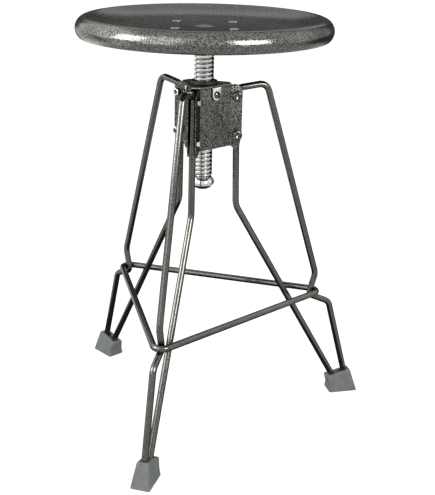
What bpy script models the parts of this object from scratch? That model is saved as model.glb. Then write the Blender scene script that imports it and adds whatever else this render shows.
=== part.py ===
"""Screw-adjusted stool: a dished steel seat on a threaded spindle, carried by three bent-rod legs.

The spindle turns in a sleeve nut, which hangs by its collar on a top plate. The top plate rests on
three bent plates and is tied to them by three tabs. The plates clamp the legs between their flanges,
a rod triangle welded round the legs braces them and serves as a foot rest, and each leg is one closed
loop of rod that ends in a rubber foot. Turning the seat raises or lowers it by the thread's pitch.

Sizes are in metres, +Z is up, and the origin is on the floor below the middle of the outline.
A corner's own frame has +X pointing out along the leg and +Y round the spindle.
"""

import math

import bmesh
import bpy
from mathutils import Matrix, Vector

MM = 0.001

# Fits
FIT_GAP = 0.3 * MM
RUNNING_GAP = 0.5 * MM
SCREW_HOLE_GAP = 0.4 * MM

# Arrangement of the three corners
CORNER_ANGLES = [math.radians(angle) for angle in (30.0, 150.0, 270.0)]
PLATE_ANGLES = [math.radians(angle) for angle in (90.0, 210.0, 330.0)]
CORNER_HALF_ANGLE = math.radians(60.0)
SQUARE = ((1, 1), (-1, 1), (-1, -1), (1, -1))

# Seat pan, pressed from sheet
SEAT_RADIUS = 175.0 * MM
SEAT_SKIRT_DEPTH = 26.5 * MM
SEAT_SHEET = 1.5 * MM
SEAT_DISH_DEPTH = 13.0 * MM
SEAT_RIM_ROUND = 15.7 * MM
SEAT_RIM_BLEND = math.radians(22.0)
SEAT_SKIRT_TUCK = math.radians(40.0)
SEAT_BOSS_RADIUS = 20.0 * MM
SEAT_BOSS_RISE = 1.5 * MM
SEAT_SCREW_SPACING = 78.0 * MM
SEAT_SQUARE_TURN = math.radians(17.4)

# Mounting plate below the seat, welded to the spindle's head
MOUNT_PLATE_MARGIN = 13.0 * MM
MOUNT_PLATE_CORNER = 14.0 * MM
MOUNT_PLATE_THICKNESS = 4.0 * MM
MOUNT_HUB_WALL = 8.0 * MM
MOUNT_HUB_LENGTH = 9.0 * MM

# Spindle and its stop ball
THREAD_CREST_RADIUS = 13.5 * MM
THREAD_DEPTH = 2.7 * MM
THREAD_PITCH = 6.0 * MM
THREAD_RUN_IN = 1.0 * MM
BALL_OVERHANG = 2.7 * MM
BALL_HALF_HEIGHT = 10.9 * MM
BALL_MOUTH_LAND = 0.3 * MM
BALL_SOCKET_DEPTH = 8.6 * MM

# Room left to turn the seat down onto the nut and up until the ball meets the nut
DOWN_TRAVEL = 58.5 * MM
UP_TRAVEL = 45.6 * MM

# Sleeve nut
NUT_WALL = 2.5 * MM
NUT_COLLAR_LIP = 2.2 * MM
NUT_COLLAR_HEIGHT = 4.5 * MM
NUT_COLLAR_CHAMFER = 1.0 * MM
NUT_FOOT_INSET = 4.0 * MM

# Bracket of three bent plates
BRACKET_BOTTOM = 408.0 * MM
BRACKET_HEIGHT = 85.0 * MM
NUT_ROOM = 6.2 * MM
PLATE_SHEET = 2.0 * MM
PLATE_FOLD_ROUND = 4.0 * MM
FLANGE_LENGTH = 15.6 * MM
FLANGE_TOP_ROUND = 8.0 * MM
FLANGE_EAR_DROP = 5.0 * MM
FLANGE_EAR_TAPER = 3.5 * MM
FLANGE_EAR_TAPER_HEIGHT = 14.0 * MM

# Top plate with its tabs
TOP_PLATE_THICKNESS = 3.0 * MM
TOP_PLATE_CORNER_ROOM = 8.4 * MM
TAB_SHEET = 2.0 * MM
TAB_WIDTH = 14.0 * MM
TAB_LENGTH = 17.0 * MM
TAB_FOLD_ROUND = 2.5 * MM
TAB_SCREW_DROP = 9.5 * MM

# Fasteners
SCREW_HEAD_SIDE = 0.35
SCREW_TIP_TAPER = 0.33
CLAMP_SCREW_INSET = 14.6 * MM
CLAMP_SCREW_RADIUS = 2.5 * MM
CLAMP_HEAD_RADIUS = 6.3 * MM
CLAMP_HEAD_HEIGHT = 3.6 * MM
CLAMP_SCREW_END = 1.6 * MM
CLAMP_NUT_WALL = 1.1 * MM
CLAMP_NUT_HEIGHT = 4.0 * MM
TAB_SCREW_RADIUS = 2.0 * MM
TAB_HEAD_RADIUS = 4.4 * MM
TAB_HEAD_HEIGHT = 2.8 * MM
TAB_SCREW_TIP_ROOM = 2.0 * MM
SEAT_SCREW_RADIUS = 3.0 * MM
SEAT_HEAD_RADIUS = 6.0 * MM
SEAT_HEAD_HEIGHT = 3.2 * MM
SEAT_SCREW_END = 2.5 * MM

# Leg rod and its bends, from the bracket down to the foot
ROD_DIAMETER = 9.0 * MM
ROD_SEAT = 8.0 * MM
ROD_LEAN = 3.6 * MM
LEG_INNER_BEND_HEIGHT = 317.5 * MM
LEG_INNER_BEND_ROUND = 30.0 * MM
ARM_DROP = 4.6 * MM
ARM_CORNER_ROUND = 10.0 * MM
ARM_LENGTH = 44.0 * MM
ARM_RISE = 6.2 * MM
ARM_END_ROUND = 13.0 * MM
KINK_INSET = 2.1 * MM
KINK_RISE = 28.4 * MM
KINK_ROUND = 25.0 * MM
LOWER_BEND_REACH = 22.0 * MM
LOWER_BEND_DROP = 19.7 * MM
LOWER_BEND_ROUND = 15.0 * MM
FOOT_ROD_SPACING = 16.6 * MM
FOOT_TOE_COVER = 14.4 * MM
FOOT_BEND_HEIGHT = 12.0 * MM
FOOT_BEND_ROUND = 8.0 * MM

# Foot ring: the rod triangle's sharp corners, before its bends
RING_CORNER_RADIUS = 192.8 * MM
RING_HEIGHT = 173.1 * MM
RING_BEND_ROUND = 12.0 * MM

# Rubber feet: a wedge that leans with the rods
FOOT_TOE_RADIUS = 255.3 * MM
FOOT_TOE_LEAN = 11.5 * MM
FOOT_TOE_TOP_HEIGHT = 35.3 * MM
FOOT_SOLE_LENGTH = 45.5 * MM
FOOT_HEEL_WAIST = 0.8 * MM
FOOT_HEEL_WAIST_HEIGHT = 10.0 * MM
FOOT_HEEL_LEAN = 3.8 * MM
FOOT_HEEL_TOP_HEIGHT = 24.8 * MM
FOOT_SOLE_WIDTH = 28.2 * MM
FOOT_TOP_WIDTH = 16.8 * MM
FOOT_EDGE_ROUND = 1.8 * MM
FOOT_SLOT_WIDTH = 7.0 * MM
FOOT_SLOT_DEPTH = 6.0 * MM

# Fineness of the facets
SEAT_SIDES = 36
SEAT_DISH_STEPS = 5
SEAT_RIM_STEPS = 8
TURNED_SIDES = 20
BALL_STEPS = 9
SCREW_SIDES = 10
FOLD_STEPS = 3
HOLE_SIDES = 12
THREAD_SIDES = 13
ROD_BEVEL_RESOLUTION = 3
BEND_STEP = math.radians(18.0)
SHARP_EDGE = math.radians(35.0)
MERGE_DISTANCE = 0.001 * MM

# Sizes that follow from the ones above
ROD_RADIUS = ROD_DIAMETER / 2
BRACKET_TOP = BRACKET_BOTTOM + BRACKET_HEIGHT
THREAD_ROOT_RADIUS = THREAD_CREST_RADIUS - THREAD_DEPTH
NUT_BORE_RADIUS = THREAD_CREST_RADIUS + RUNNING_GAP
NUT_RADIUS = NUT_BORE_RADIUS + NUT_WALL
PLATE_DISTANCE = NUT_RADIUS + NUT_ROOM + PLATE_SHEET / 2
PLATE_FACE = PLATE_DISTANCE + PLATE_SHEET / 2
FLANGE_OFFSET = ROD_RADIUS + FIT_GAP + PLATE_SHEET / 2
FLANGE_BEND = math.pi / 2 - CORNER_HALF_ANGLE
FLANGE_FOLD = (PLATE_DISTANCE - FLANGE_OFFSET * math.cos(FLANGE_BEND)) / math.sin(FLANGE_BEND)
FLANGE_BEND_REACH = PLATE_FOLD_ROUND * math.tan(FLANGE_BEND / 2)
FLANGE_START = FLANGE_FOLD + FLANGE_BEND_REACH
LEG_TOP_RADIUS = FLANGE_START + ROD_SEAT
LEG_BEND_RADIUS = LEG_TOP_RADIUS + ROD_LEAN
FLANGE_EDGE_RADIUS = FLANGE_START + FLANGE_LENGTH
FLANGE_EAR_RADIUS = FLANGE_EDGE_RADIUS - FLANGE_EAR_TAPER
CLAMP_FACE = FLANGE_OFFSET + PLATE_SHEET / 2
CLAMP_HEIGHTS = (BRACKET_BOTTOM + CLAMP_SCREW_INSET, BRACKET_TOP - CLAMP_SCREW_INSET)
CLAMP_HOLE_RADIUS = CLAMP_SCREW_RADIUS + SCREW_HOLE_GAP
CLAMP_NUT_ACROSS_FLATS = 2 * (CLAMP_HOLE_RADIUS + CLAMP_NUT_WALL)
TAB_HOLE_RADIUS = TAB_SCREW_RADIUS + SCREW_HOLE_GAP
SEAT_HOLE_RADIUS = SEAT_SCREW_RADIUS + SCREW_HOLE_GAP
TOP_PLATE_BOTTOM = BRACKET_TOP + FIT_GAP
TOP_PLATE_TOP = TOP_PLATE_BOTTOM + TOP_PLATE_THICKNESS
TAB_MIDDLE = PLATE_FACE + FIT_GAP + TAB_SHEET / 2
TAB_FACE = TAB_MIDDLE + TAB_SHEET / 2
TAB_SCREW_HEIGHT = TOP_PLATE_BOTTOM - TAB_SCREW_DROP
NUT_SEAT = TOP_PLATE_TOP + FIT_GAP
NUT_TOP = NUT_SEAT + NUT_COLLAR_HEIGHT
NUT_FOOT = BRACKET_BOTTOM + NUT_FOOT_INSET
BALL_RADIUS = NUT_BORE_RADIUS + BALL_OVERHANG
BALL_HEIGHT = NUT_FOOT - UP_TRAVEL - BALL_HALF_HEIGHT
BALL_SOCKET_RADIUS = THREAD_ROOT_RADIUS + RUNNING_GAP
BALL_MOUTH_ANGLE = math.acos((BALL_SOCKET_RADIUS + BALL_MOUTH_LAND) / BALL_RADIUS)
BALL_MOUTH_HEIGHT = BALL_HEIGHT + BALL_HALF_HEIGHT * math.sin(BALL_MOUTH_ANGLE)
BALL_SOCKET_FLOOR = BALL_MOUTH_HEIGHT - BALL_SOCKET_DEPTH
MOUNT_BORE_RADIUS = THREAD_ROOT_RADIUS + RUNNING_GAP
MOUNT_HUB_BOTTOM = NUT_TOP + DOWN_TRAVEL
MOUNT_PLATE_BOTTOM = MOUNT_HUB_BOTTOM + MOUNT_HUB_LENGTH
MOUNT_PLATE_TOP = MOUNT_PLATE_BOTTOM + MOUNT_PLATE_THICKNESS
MOUNT_PLATE_WIDTH = SEAT_SCREW_SPACING + 2 * MOUNT_PLATE_MARGIN
SEAT_DISH_HEIGHT = MOUNT_PLATE_TOP + FIT_GAP + SEAT_SHEET
SEAT_CREST_HEIGHT = SEAT_DISH_HEIGHT + SEAT_DISH_DEPTH
ARM_HEIGHT = BRACKET_TOP - ARM_DROP
RING_ROD_RADIUS = RING_CORNER_RADIUS - RING_BEND_ROUND
TOE_ROD_RADIUS = FOOT_TOE_RADIUS - FOOT_TOE_COVER
HEEL_ROD_RADIUS = TOE_ROD_RADIUS - FOOT_ROD_SPACING

# The seat reaches furthest to the back and one foot to the front, which puts the spindle off centre
AXIS_Y = (FOOT_TOE_RADIUS - SEAT_RADIUS) / 2


def clear_scene():
    """Remove whatever objects the file holds."""
    for old in list(bpy.data.objects):
        bpy.data.objects.remove(old, do_unlink=True)


def make_material(name, colour, roughness, metallic):
    """Return a Principled BSDF material."""
    material = bpy.data.materials.new(name)
    material.use_nodes = True
    shader = material.node_tree.nodes["Principled BSDF"]
    shader.inputs["Base Color"].default_value = (*colour, 1.0)
    shader.inputs["Roughness"].default_value = roughness
    shader.inputs["Metallic"].default_value = metallic
    return material


def make_empty(name, location, parent=None):
    """Return an empty that pieces are placed from."""
    empty = bpy.data.objects.new(name, None)
    empty.location = location
    empty.parent = parent
    bpy.context.scene.collection.objects.link(empty)
    return empty


def place(name, mesh, material, parent, location=(0, 0, 0), rotation=(0, 0, 0)):
    """Add a finished mesh to the scene as a named piece."""
    piece = bpy.data.objects.new(name, mesh)
    piece.parent = parent
    piece.location = location
    piece.rotation_euler = rotation
    mesh.materials.clear()
    mesh.materials.append(material)
    bpy.context.scene.collection.objects.link(piece)
    return piece


def finish_mesh(bm):
    """Turn a bmesh into a smooth-shaded mesh with outward faces."""
    bmesh.ops.recalc_face_normals(bm, faces=bm.faces)
    mesh = bpy.data.meshes.new("piece")
    bm.to_mesh(mesh)
    bm.free()
    mesh.shade_smooth()
    mesh.set_sharp_from_angle(angle=SHARP_EDGE)
    return mesh


def evaluated_mesh(source):
    """Return an object's mesh with its modifiers or bevel applied, and remove the object."""
    bpy.context.view_layer.update()
    graph = bpy.context.evaluated_depsgraph_get()
    mesh = bpy.data.meshes.new_from_object(source.evaluated_get(graph))
    bpy.data.objects.remove(source, do_unlink=True)
    return mesh


def combine(mesh, tools, operation):
    """Return a mesh after a Boolean with each tool mesh in turn."""
    collection = bpy.context.scene.collection
    body = bpy.data.objects.new("body", mesh)
    collection.objects.link(body)
    cutters = []
    for tool in tools:
        cutter = bpy.data.objects.new("cutter", tool)
        cutter.hide_render = True
        cutter.display_type = "WIRE"
        collection.objects.link(cutter)
        cutters.append(cutter)
        modifier = body.modifiers.new("cut", "BOOLEAN")
        modifier.operation = operation
        modifier.object = cutter
    result = evaluated_mesh(body)
    for cutter in cutters:
        bpy.data.objects.remove(cutter, do_unlink=True)
    bm = bmesh.new()
    bm.from_mesh(result)
    bmesh.ops.remove_doubles(bm, verts=bm.verts, dist=MERGE_DISTANCE)
    return finish_mesh(bm)


def turned(profile, sides, closed=False):
    """Spin a profile of (radius, height) points about the Z axis."""
    bm = bmesh.new()
    points = [bm.verts.new((radius, 0.0, height)) for radius, height in profile]
    edges = [bm.edges.new(pair) for pair in zip(points, points[1:])]
    if closed:
        edges.append(bm.edges.new((points[-1], points[0])))
    bmesh.ops.spin(
        bm, geom=points + edges, cent=(0, 0, 0), axis=(0, 0, 1), angle=math.tau, steps=sides, use_merge=True
    )
    bmesh.ops.remove_doubles(bm, verts=bm.verts, dist=MERGE_DISTANCE)
    return finish_mesh(bm)


def loft(sections):
    """Bridge closed sections of equally many points and cap both ends."""
    bm = bmesh.new()
    loops = [[bm.verts.new(point) for point in section] for section in sections]
    for lower, upper in zip(loops, loops[1:]):
        for index in range(len(lower)):
            bm.faces.new((lower[index - 1], lower[index], upper[index], upper[index - 1]))
    bm.faces.new(loops[0])
    bm.faces.new(loops[-1])
    return finish_mesh(bm)


def prism(outline, bottom, top):
    """Extrude a plan outline between two heights."""
    return loft([[(x, y, height) for x, y in outline] for height in (bottom, top)])


def pin(radius, centre, direction, length, sides=HOLE_SIDES):
    """Return a cylinder about a centre point, along a direction, with a flat to each side."""
    bm = bmesh.new()
    turn = Vector((0, 0, 1)).rotation_difference(Vector(direction)).to_matrix().to_4x4()
    half_facet = Matrix.Rotation(math.pi / sides, 4, "Z")
    bmesh.ops.create_cone(
        bm, cap_ends=True, segments=sides, radius1=radius, radius2=radius, depth=length,
        matrix=Matrix.Translation(centre) @ turn @ half_facet,
    )
    return finish_mesh(bm)


def rounded_loop(corners):
    """Round each (point, radius) corner of a closed outline with an arc and return the points."""
    points = []
    for index, (corner, radius) in enumerate(corners):
        before = (corners[index - 1][0] - corner).normalized()
        after = (corners[(index + 1) % len(corners)][0] - corner).normalized()
        half = before.angle(after) / 2
        start = corner + before * radius / math.tan(half)
        centre = corner + (before + after).normalized() * radius / math.sin(half)
        sweep = math.pi - 2 * half
        side = math.copysign(1.0, before.x * after.y - before.y * after.x)
        steps = max(2, math.ceil(sweep / BEND_STEP))
        for step in range(steps + 1):
            points.append(centre + Matrix.Rotation(-side * sweep * step / steps, 2) @ (start - centre))
    return points


def bent_rod(points, radius):
    """Return a closed loop of round rod along a path."""
    curve = bpy.data.curves.new("rod", "CURVE")
    curve.dimensions = "3D"
    curve.bevel_depth = radius
    curve.bevel_resolution = ROD_BEVEL_RESOLUTION
    spline = curve.splines.new("POLY")
    spline.points.add(len(points) - 1)
    for target, point in zip(spline.points, points):
        target.co = (*point, 1.0)
    spline.use_cyclic_u = True
    rod = bpy.data.objects.new("rod", curve)
    bpy.context.scene.collection.objects.link(rod)
    bm = bmesh.new()
    bm.from_mesh(evaluated_mesh(rod))
    bmesh.ops.remove_doubles(bm, verts=bm.verts, dist=MERGE_DISTANCE)
    return finish_mesh(bm)


def pan_screw(head_radius, head_height, shank_radius, shank_length):
    """Return a pan-head screw with its head's seat at z = 0 and its shank below."""
    tip = SCREW_TIP_TAPER * shank_radius
    side = SCREW_HEAD_SIDE * head_height
    crown = [
        (head_radius * math.cos(angle), side + (head_height - side) * math.sin(angle))
        for angle in (0.0, math.radians(45.0), math.radians(90.0))
    ]
    crown[-1] = (0.0, head_height)
    profile = crown[::-1] + [
        (head_radius, 0.0),
        (shank_radius, 0.0),
        (shank_radius, tip - shank_length),
        (shank_radius - tip, -shank_length),
        (0.0, -shank_length),
    ]
    return turned(profile, SCREW_SIDES)


def hexagon_nut(across_flats, height, bore_radius):
    """Return a hexagon nut that stands on z = 0."""
    corner = across_flats / math.sqrt(3.0)
    outline = [polar(corner, side * math.pi / 3, 0.0).to_2d() for side in range(6)]
    bore = pin(bore_radius, (0, 0, height / 2), (0, 0, 1), 2 * height)
    return combine(prism(outline, 0.0, height), [bore], "DIFFERENCE")


def polar(radius, angle, height):
    """Return the point at a radius and an angle round the spindle."""
    return Vector((radius * math.cos(angle), radius * math.sin(angle), height))


# Seat pan and its mounting plate


def dish_exponent():
    """Power of the dish curve that meets the rim's arc without a crease."""
    edge_radius = SEAT_RADIUS - SEAT_RIM_ROUND * (1 + math.sin(SEAT_RIM_BLEND))
    edge_rise = SEAT_DISH_DEPTH - SEAT_RIM_ROUND * (1 - math.cos(SEAT_RIM_BLEND))
    return edge_radius, edge_rise, math.tan(SEAT_RIM_BLEND) * edge_radius / edge_rise


def dish_height(radius):
    """Height of the dish's upper face at a radius, with the low round boss in its middle."""
    edge_radius, edge_rise, power = dish_exponent()
    share = min(1.0, radius / SEAT_BOSS_RADIUS)
    boss = SEAT_BOSS_RISE * (1 + math.cos(math.pi * share)) / 2
    return SEAT_DISH_HEIGHT + boss + edge_rise * (radius / edge_radius) ** power


def seat_outer_profile():
    """Upper and outer face of the pan: dish, rolled rim and tucked skirt."""
    edge_radius = dish_exponent()[0]
    boss = [0.0, SEAT_BOSS_RADIUS / 2, SEAT_BOSS_RADIUS]
    dish = [edge_radius * step / SEAT_DISH_STEPS for step in range(2, SEAT_DISH_STEPS)]
    profile = [Vector((radius, dish_height(radius))) for radius in boss + dish]
    centre = Vector((SEAT_RADIUS - SEAT_RIM_ROUND, SEAT_CREST_HEIGHT - SEAT_RIM_ROUND))
    first = math.pi / 2 + SEAT_RIM_BLEND
    sweep = first + SEAT_SKIRT_TUCK
    for step in range(SEAT_RIM_STEPS + 1):
        angle = first - sweep * step / SEAT_RIM_STEPS
        profile.append(centre + SEAT_RIM_ROUND * Vector((math.cos(angle), math.sin(angle))))
    fall = profile[-1].y - SEAT_CREST_HEIGHT + SEAT_SKIRT_DEPTH
    profile.append(profile[-1] - fall * Vector((math.tan(SEAT_SKIRT_TUCK), 1.0)))
    return profile


def offset_profile(profile, distance):
    """Shift an open profile to its right-hand side, keeping its first point on the axis."""
    shifted = [profile[0] - Vector((0.0, distance))]
    for index in range(1, len(profile)):
        ahead = profile[min(index + 1, len(profile) - 1)]
        along = (ahead - profile[index - 1]).normalized()
        shifted.append(profile[index] + distance * Vector((along.y, -along.x)))
    return shifted


def seat_screw_points():
    """Plan points of the four seat screws."""
    half = SEAT_SCREW_SPACING / 2
    turn = Matrix.Rotation(SEAT_SQUARE_TURN, 2)
    return [turn @ Vector((x * half, y * half)) for x, y in SQUARE]


def make_seat_pan():
    """Pressed pan with four screw holes."""
    outer = seat_outer_profile()
    inner = offset_profile(outer, SEAT_SHEET)
    pan = turned(outer + inner[::-1], SEAT_SIDES)
    holes = [
        pin(SEAT_HOLE_RADIUS, (*point, SEAT_DISH_HEIGHT), (0, 0, 1), 10 * SEAT_SHEET)
        for point in seat_screw_points()
    ]
    return combine(pan, holes, "DIFFERENCE")


def make_mount_plate():
    """Square plate with round corners and a hub that takes the spindle's head."""
    half = MOUNT_PLATE_WIDTH / 2
    corners = [(Vector((x * half, y * half)), MOUNT_PLATE_CORNER) for x, y in SQUARE]
    turn = Matrix.Rotation(SEAT_SQUARE_TURN, 2)
    outline = [turn @ point for point in rounded_loop(corners)]
    plate = prism(outline, MOUNT_PLATE_BOTTOM, MOUNT_PLATE_TOP)
    hub_top = MOUNT_PLATE_BOTTOM + MOUNT_PLATE_THICKNESS / 2
    hub_length = hub_top - MOUNT_HUB_BOTTOM
    hub_middle = (0, 0, hub_top - hub_length / 2)
    hub = pin(MOUNT_BORE_RADIUS + MOUNT_HUB_WALL, hub_middle, (0, 0, 1), hub_length, TURNED_SIDES)
    bore = pin(MOUNT_BORE_RADIUS, hub_middle, (0, 0, 1), 4 * hub_length, TURNED_SIDES)
    holes = [
        pin(SEAT_HOLE_RADIUS, (*point, MOUNT_PLATE_TOP), (0, 0, 1), 4 * MOUNT_PLATE_THICKNESS)
        for point in seat_screw_points()
    ]
    return combine(combine(plate, [hub], "UNION"), [bore] + holes, "DIFFERENCE")


# Spindle, stop ball and sleeve nut


def make_spindle():
    """Rod with a right-hand thread that fades out at both ends, and plain ends at root size."""
    bottom = BALL_SOCKET_FLOOR + RUNNING_GAP
    top = MOUNT_PLATE_TOP - RUNNING_GAP
    start = BALL_MOUTH_HEIGHT + THREAD_RUN_IN
    turns = math.floor((MOUNT_HUB_BOTTOM - start) / THREAD_PITCH) - 1
    last = turns * THREAD_SIDES
    fade = THREAD_SIDES / 2
    # One pitch of the thread: share of the pitch, and whether the point is on the crest
    tooth = ((0.0, 0), (0.4, 0), (0.56, 1), (0.86, 1))
    bm = bmesh.new()

    def helix_point(step, share, crest):
        lift = min(1.0, step / fade, max(0.0, last - step) / fade) * crest
        radius = THREAD_ROOT_RADIUS + THREAD_DEPTH * lift
        height = start + THREAD_PITCH * (step / THREAD_SIDES + share)
        return bm.verts.new(polar(radius, math.tau * step / THREAD_SIDES, height))

    rows = []
    for step in range(last + 1):
        rows.append([helix_point(step, share, crest) for share, crest in tooth])
    for step in range(last + 1, last + THREAD_SIDES + 1):
        rows.append([helix_point(step, 0.0, 0)])
    for step in range(last):
        for index in range(len(tooth) - 1):
            bm.faces.new((*rows[step][index : index + 2][::-1], *rows[step + 1][index : index + 2]))
        above = rows[step + THREAD_SIDES][0], rows[step + 1 + THREAD_SIDES][0]
        bm.faces.new((above[0], rows[step][-1], rows[step + 1][-1], above[1]))

    def end_ring(height):
        return [
            bm.verts.new(polar(THREAD_ROOT_RADIUS, math.tau * side / THREAD_SIDES, height))
            for side in range(THREAD_SIDES)
        ]

    # The thread's first and last flank are steps in the plain ends' faces
    foot = end_ring(bottom)
    for side in range(THREAD_SIDES - 1):
        bm.faces.new((foot[side], foot[side + 1], rows[side + 1][0], rows[side][0]))
    bm.faces.new((foot[-1], foot[0], *rows[0], rows[THREAD_SIDES][0], rows[THREAD_SIDES - 1][0]))
    head = end_ring(top)
    upper = rows[last:]
    bm.faces.new((upper[0][0], upper[1][0], head[1], head[0], upper[-1][0], *upper[0][:0:-1]))
    for side in range(1, THREAD_SIDES):
        bm.faces.new((upper[side][0], upper[side + 1][0], head[(side + 1) % THREAD_SIDES], head[side]))
    bm.faces.new(foot)
    bm.faces.new(head)
    return finish_mesh(bm)


def make_stop_ball():
    """Flattened ball with a blind socket for the spindle's lower end."""
    sweep = BALL_MOUTH_ANGLE + math.pi / 2
    outside = []
    for step in range(BALL_STEPS + 1):
        angle = BALL_MOUTH_ANGLE - sweep * step / BALL_STEPS
        outside.append((BALL_RADIUS * math.cos(angle), BALL_HEIGHT + BALL_HALF_HEIGHT * math.sin(angle)))
    outside[-1] = (0.0, BALL_HEIGHT - BALL_HALF_HEIGHT)
    socket = [
        (0.0, BALL_SOCKET_FLOOR),
        (BALL_SOCKET_RADIUS, BALL_SOCKET_FLOOR),
        (BALL_SOCKET_RADIUS, BALL_MOUTH_HEIGHT),
    ]
    return turned(socket + outside, TURNED_SIDES)


def make_spindle_nut():
    """Sleeve with a chamfered collar that hangs on the top plate."""
    collar_radius = NUT_RADIUS + NUT_COLLAR_LIP
    profile = [
        (NUT_BORE_RADIUS, NUT_FOOT),
        (NUT_BORE_RADIUS, NUT_TOP),
        (collar_radius - NUT_COLLAR_CHAMFER, NUT_TOP),
        (collar_radius, NUT_TOP - NUT_COLLAR_CHAMFER),
        (collar_radius, NUT_SEAT),
        (NUT_RADIUS, NUT_SEAT),
        (NUT_RADIUS, NUT_FOOT),
    ]
    return turned(profile, TURNED_SIDES, closed=True)


# Bracket


def inner_run_radius(height):
    """Distance of a leg's inner run from the spindle; the run leans out from its top to its bend."""
    share = (ARM_HEIGHT - height) / (ARM_HEIGHT - LEG_INNER_BEND_HEIGHT)
    return LEG_TOP_RADIUS + ROD_LEAN * share


def plate_path():
    """Plan points and normals of half a bent plate, from its middle to a flange's edge."""
    along = Vector((math.cos(CORNER_HALF_ANGLE), math.sin(CORNER_HALF_ANGLE)))
    outward = Vector((along.y, -along.x))
    fold = along * FLANGE_FOLD + outward * FLANGE_OFFSET
    centre = Vector((PLATE_DISTANCE + PLATE_FOLD_ROUND, fold.y - FLANGE_BEND_REACH))
    path = []
    for step in range(FOLD_STEPS + 1):
        normal = Matrix.Rotation(-FLANGE_BEND * step / FOLD_STEPS, 2) @ Vector((1.0, 0.0))
        path.append((centre - PLATE_FOLD_ROUND * normal, normal, FLANGE_START))
    lower_corners = [FLANGE_START + FLANGE_EAR_DROP, FLANGE_EAR_RADIUS]
    top_arc = [
        FLANGE_EDGE_RADIUS - FLANGE_TOP_ROUND * (1 - math.sin(math.radians(angle)))
        for angle in (0.0, 30.0, 55.0, 90.0)
    ]
    for radius in sorted(lower_corners + top_arc):
        path.append((along * radius + outward * FLANGE_OFFSET, outward, radius))
    return path


def flange_heights(radius):
    """Lower and upper edge of a flange at a radius from the spindle; the ear hangs below the plate."""
    drop = min(FLANGE_EAR_DROP, radius - FLANGE_START)
    into_taper = max(0.0, radius - FLANGE_EAR_RADIUS) / FLANGE_EAR_TAPER
    climb = (FLANGE_EAR_DROP + FLANGE_EAR_TAPER_HEIGHT) * into_taper
    into_round = max(0.0, radius - (FLANGE_EDGE_RADIUS - FLANGE_TOP_ROUND))
    round_drop = FLANGE_TOP_ROUND - math.sqrt(max(0.0, FLANGE_TOP_ROUND**2 - into_round**2))
    return BRACKET_BOTTOM - drop + climb, BRACKET_TOP - round_drop


def make_bracket_plate():
    """Bent plate in the frame of its own face: +X out of the face."""
    half = plate_path()
    mirrored = [(Vector((p.x, -p.y)), Vector((n.x, -n.y)), radius) for p, n, radius in half[::-1]]
    sections = []
    for point, normal, radius in mirrored + half:
        low, high = flange_heights(radius)
        inner = point - normal * PLATE_SHEET / 2
        outer = point + normal * PLATE_SHEET / 2
        sections.append([(*inner, low), (*outer, low), (*outer, high), (*inner, high)])
    holes = [pin(TAB_HOLE_RADIUS, (PLATE_DISTANCE, 0, TAB_SCREW_HEIGHT), (1, 0, 0), 4 * PLATE_SHEET)]
    for side in (-1, 1):
        across = Vector((math.sin(CORNER_HALF_ANGLE), -side * math.cos(CORNER_HALF_ANGLE), 0.0))
        for height in CLAMP_HEIGHTS:
            centre = polar(inner_run_radius(height), side * CORNER_HALF_ANGLE, height)
            middle = centre + across * FLANGE_OFFSET
            holes.append(pin(CLAMP_HOLE_RADIUS, middle, across, 3 * PLATE_SHEET))
    return combine(loft(sections), holes, "DIFFERENCE")


def tab_sections():
    """Sections along one tab, from inside the top plate, over the fold and down to the round end."""
    middle = TOP_PLATE_BOTTOM + TOP_PLATE_THICKNESS / 2
    end_round = TAB_WIDTH / 2
    end = TOP_PLATE_BOTTOM - TAB_LENGTH
    path = [(TAB_MIDDLE - 3 * TAB_FOLD_ROUND, middle, 90.0, end_round)]
    for angle in (90.0, 60.0, 30.0, 0.0):
        turn = math.radians(angle)
        x = TAB_MIDDLE - TAB_FOLD_ROUND * (1 - math.cos(turn))
        path.append((x, middle - TAB_FOLD_ROUND * (1 - math.sin(turn)), angle, end_round))
    for angle in (0.0, 30.0, 52.0, 72.0):
        turn = math.radians(angle)
        path.append((TAB_MIDDLE, end + end_round * (1 - math.sin(turn)), 0.0, end_round * math.cos(turn)))
    sections = []
    for x, z, angle, half_width in path:
        normal = Vector((math.cos(math.radians(angle)), math.sin(math.radians(angle)))) * TAB_SHEET / 2
        corners = ((-1, -1), (1, -1), (1, 1), (-1, 1))
        sections.append([(x + side * normal.x, y * half_width, z + side * normal.y) for side, y in corners])
    return sections


def make_top_plate():
    """Triangular plate with a bore for the sleeve and three folded tabs."""
    corners = []
    for angle in CORNER_ANGLES:
        reach = PLATE_FACE / math.cos(CORNER_HALF_ANGLE)
        cut = LEG_TOP_RADIUS - TOP_PLATE_CORNER_ROOM
        half = (reach - cut) * math.tan(CORNER_HALF_ANGLE)
        middle = polar(cut, angle, 0.0)
        across = polar(half, angle + math.pi / 2, 0.0)
        corners += [middle - across, middle + across]
    plate = prism([(corner.x, corner.y) for corner in corners], TOP_PLATE_BOTTOM, TOP_PLATE_TOP)
    tabs = []
    bore_length = 4 * TOP_PLATE_THICKNESS
    holes = [pin(NUT_RADIUS + FIT_GAP, (0, 0, TOP_PLATE_BOTTOM), (0, 0, 1), bore_length, TURNED_SIDES)]
    for angle in PLATE_ANGLES:
        tab = loft(tab_sections())
        tab.transform(Matrix.Rotation(angle, 4, "Z"))
        tabs.append(tab)
        hole_middle = polar(TAB_MIDDLE, angle, TAB_SCREW_HEIGHT)
        holes.append(pin(TAB_HOLE_RADIUS, hole_middle, polar(1.0, angle, 0.0), 3 * TAB_SHEET))
    return combine(combine(plate, tabs, "UNION"), holes, "DIFFERENCE")


# Legs, foot ring and rubber feet


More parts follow.
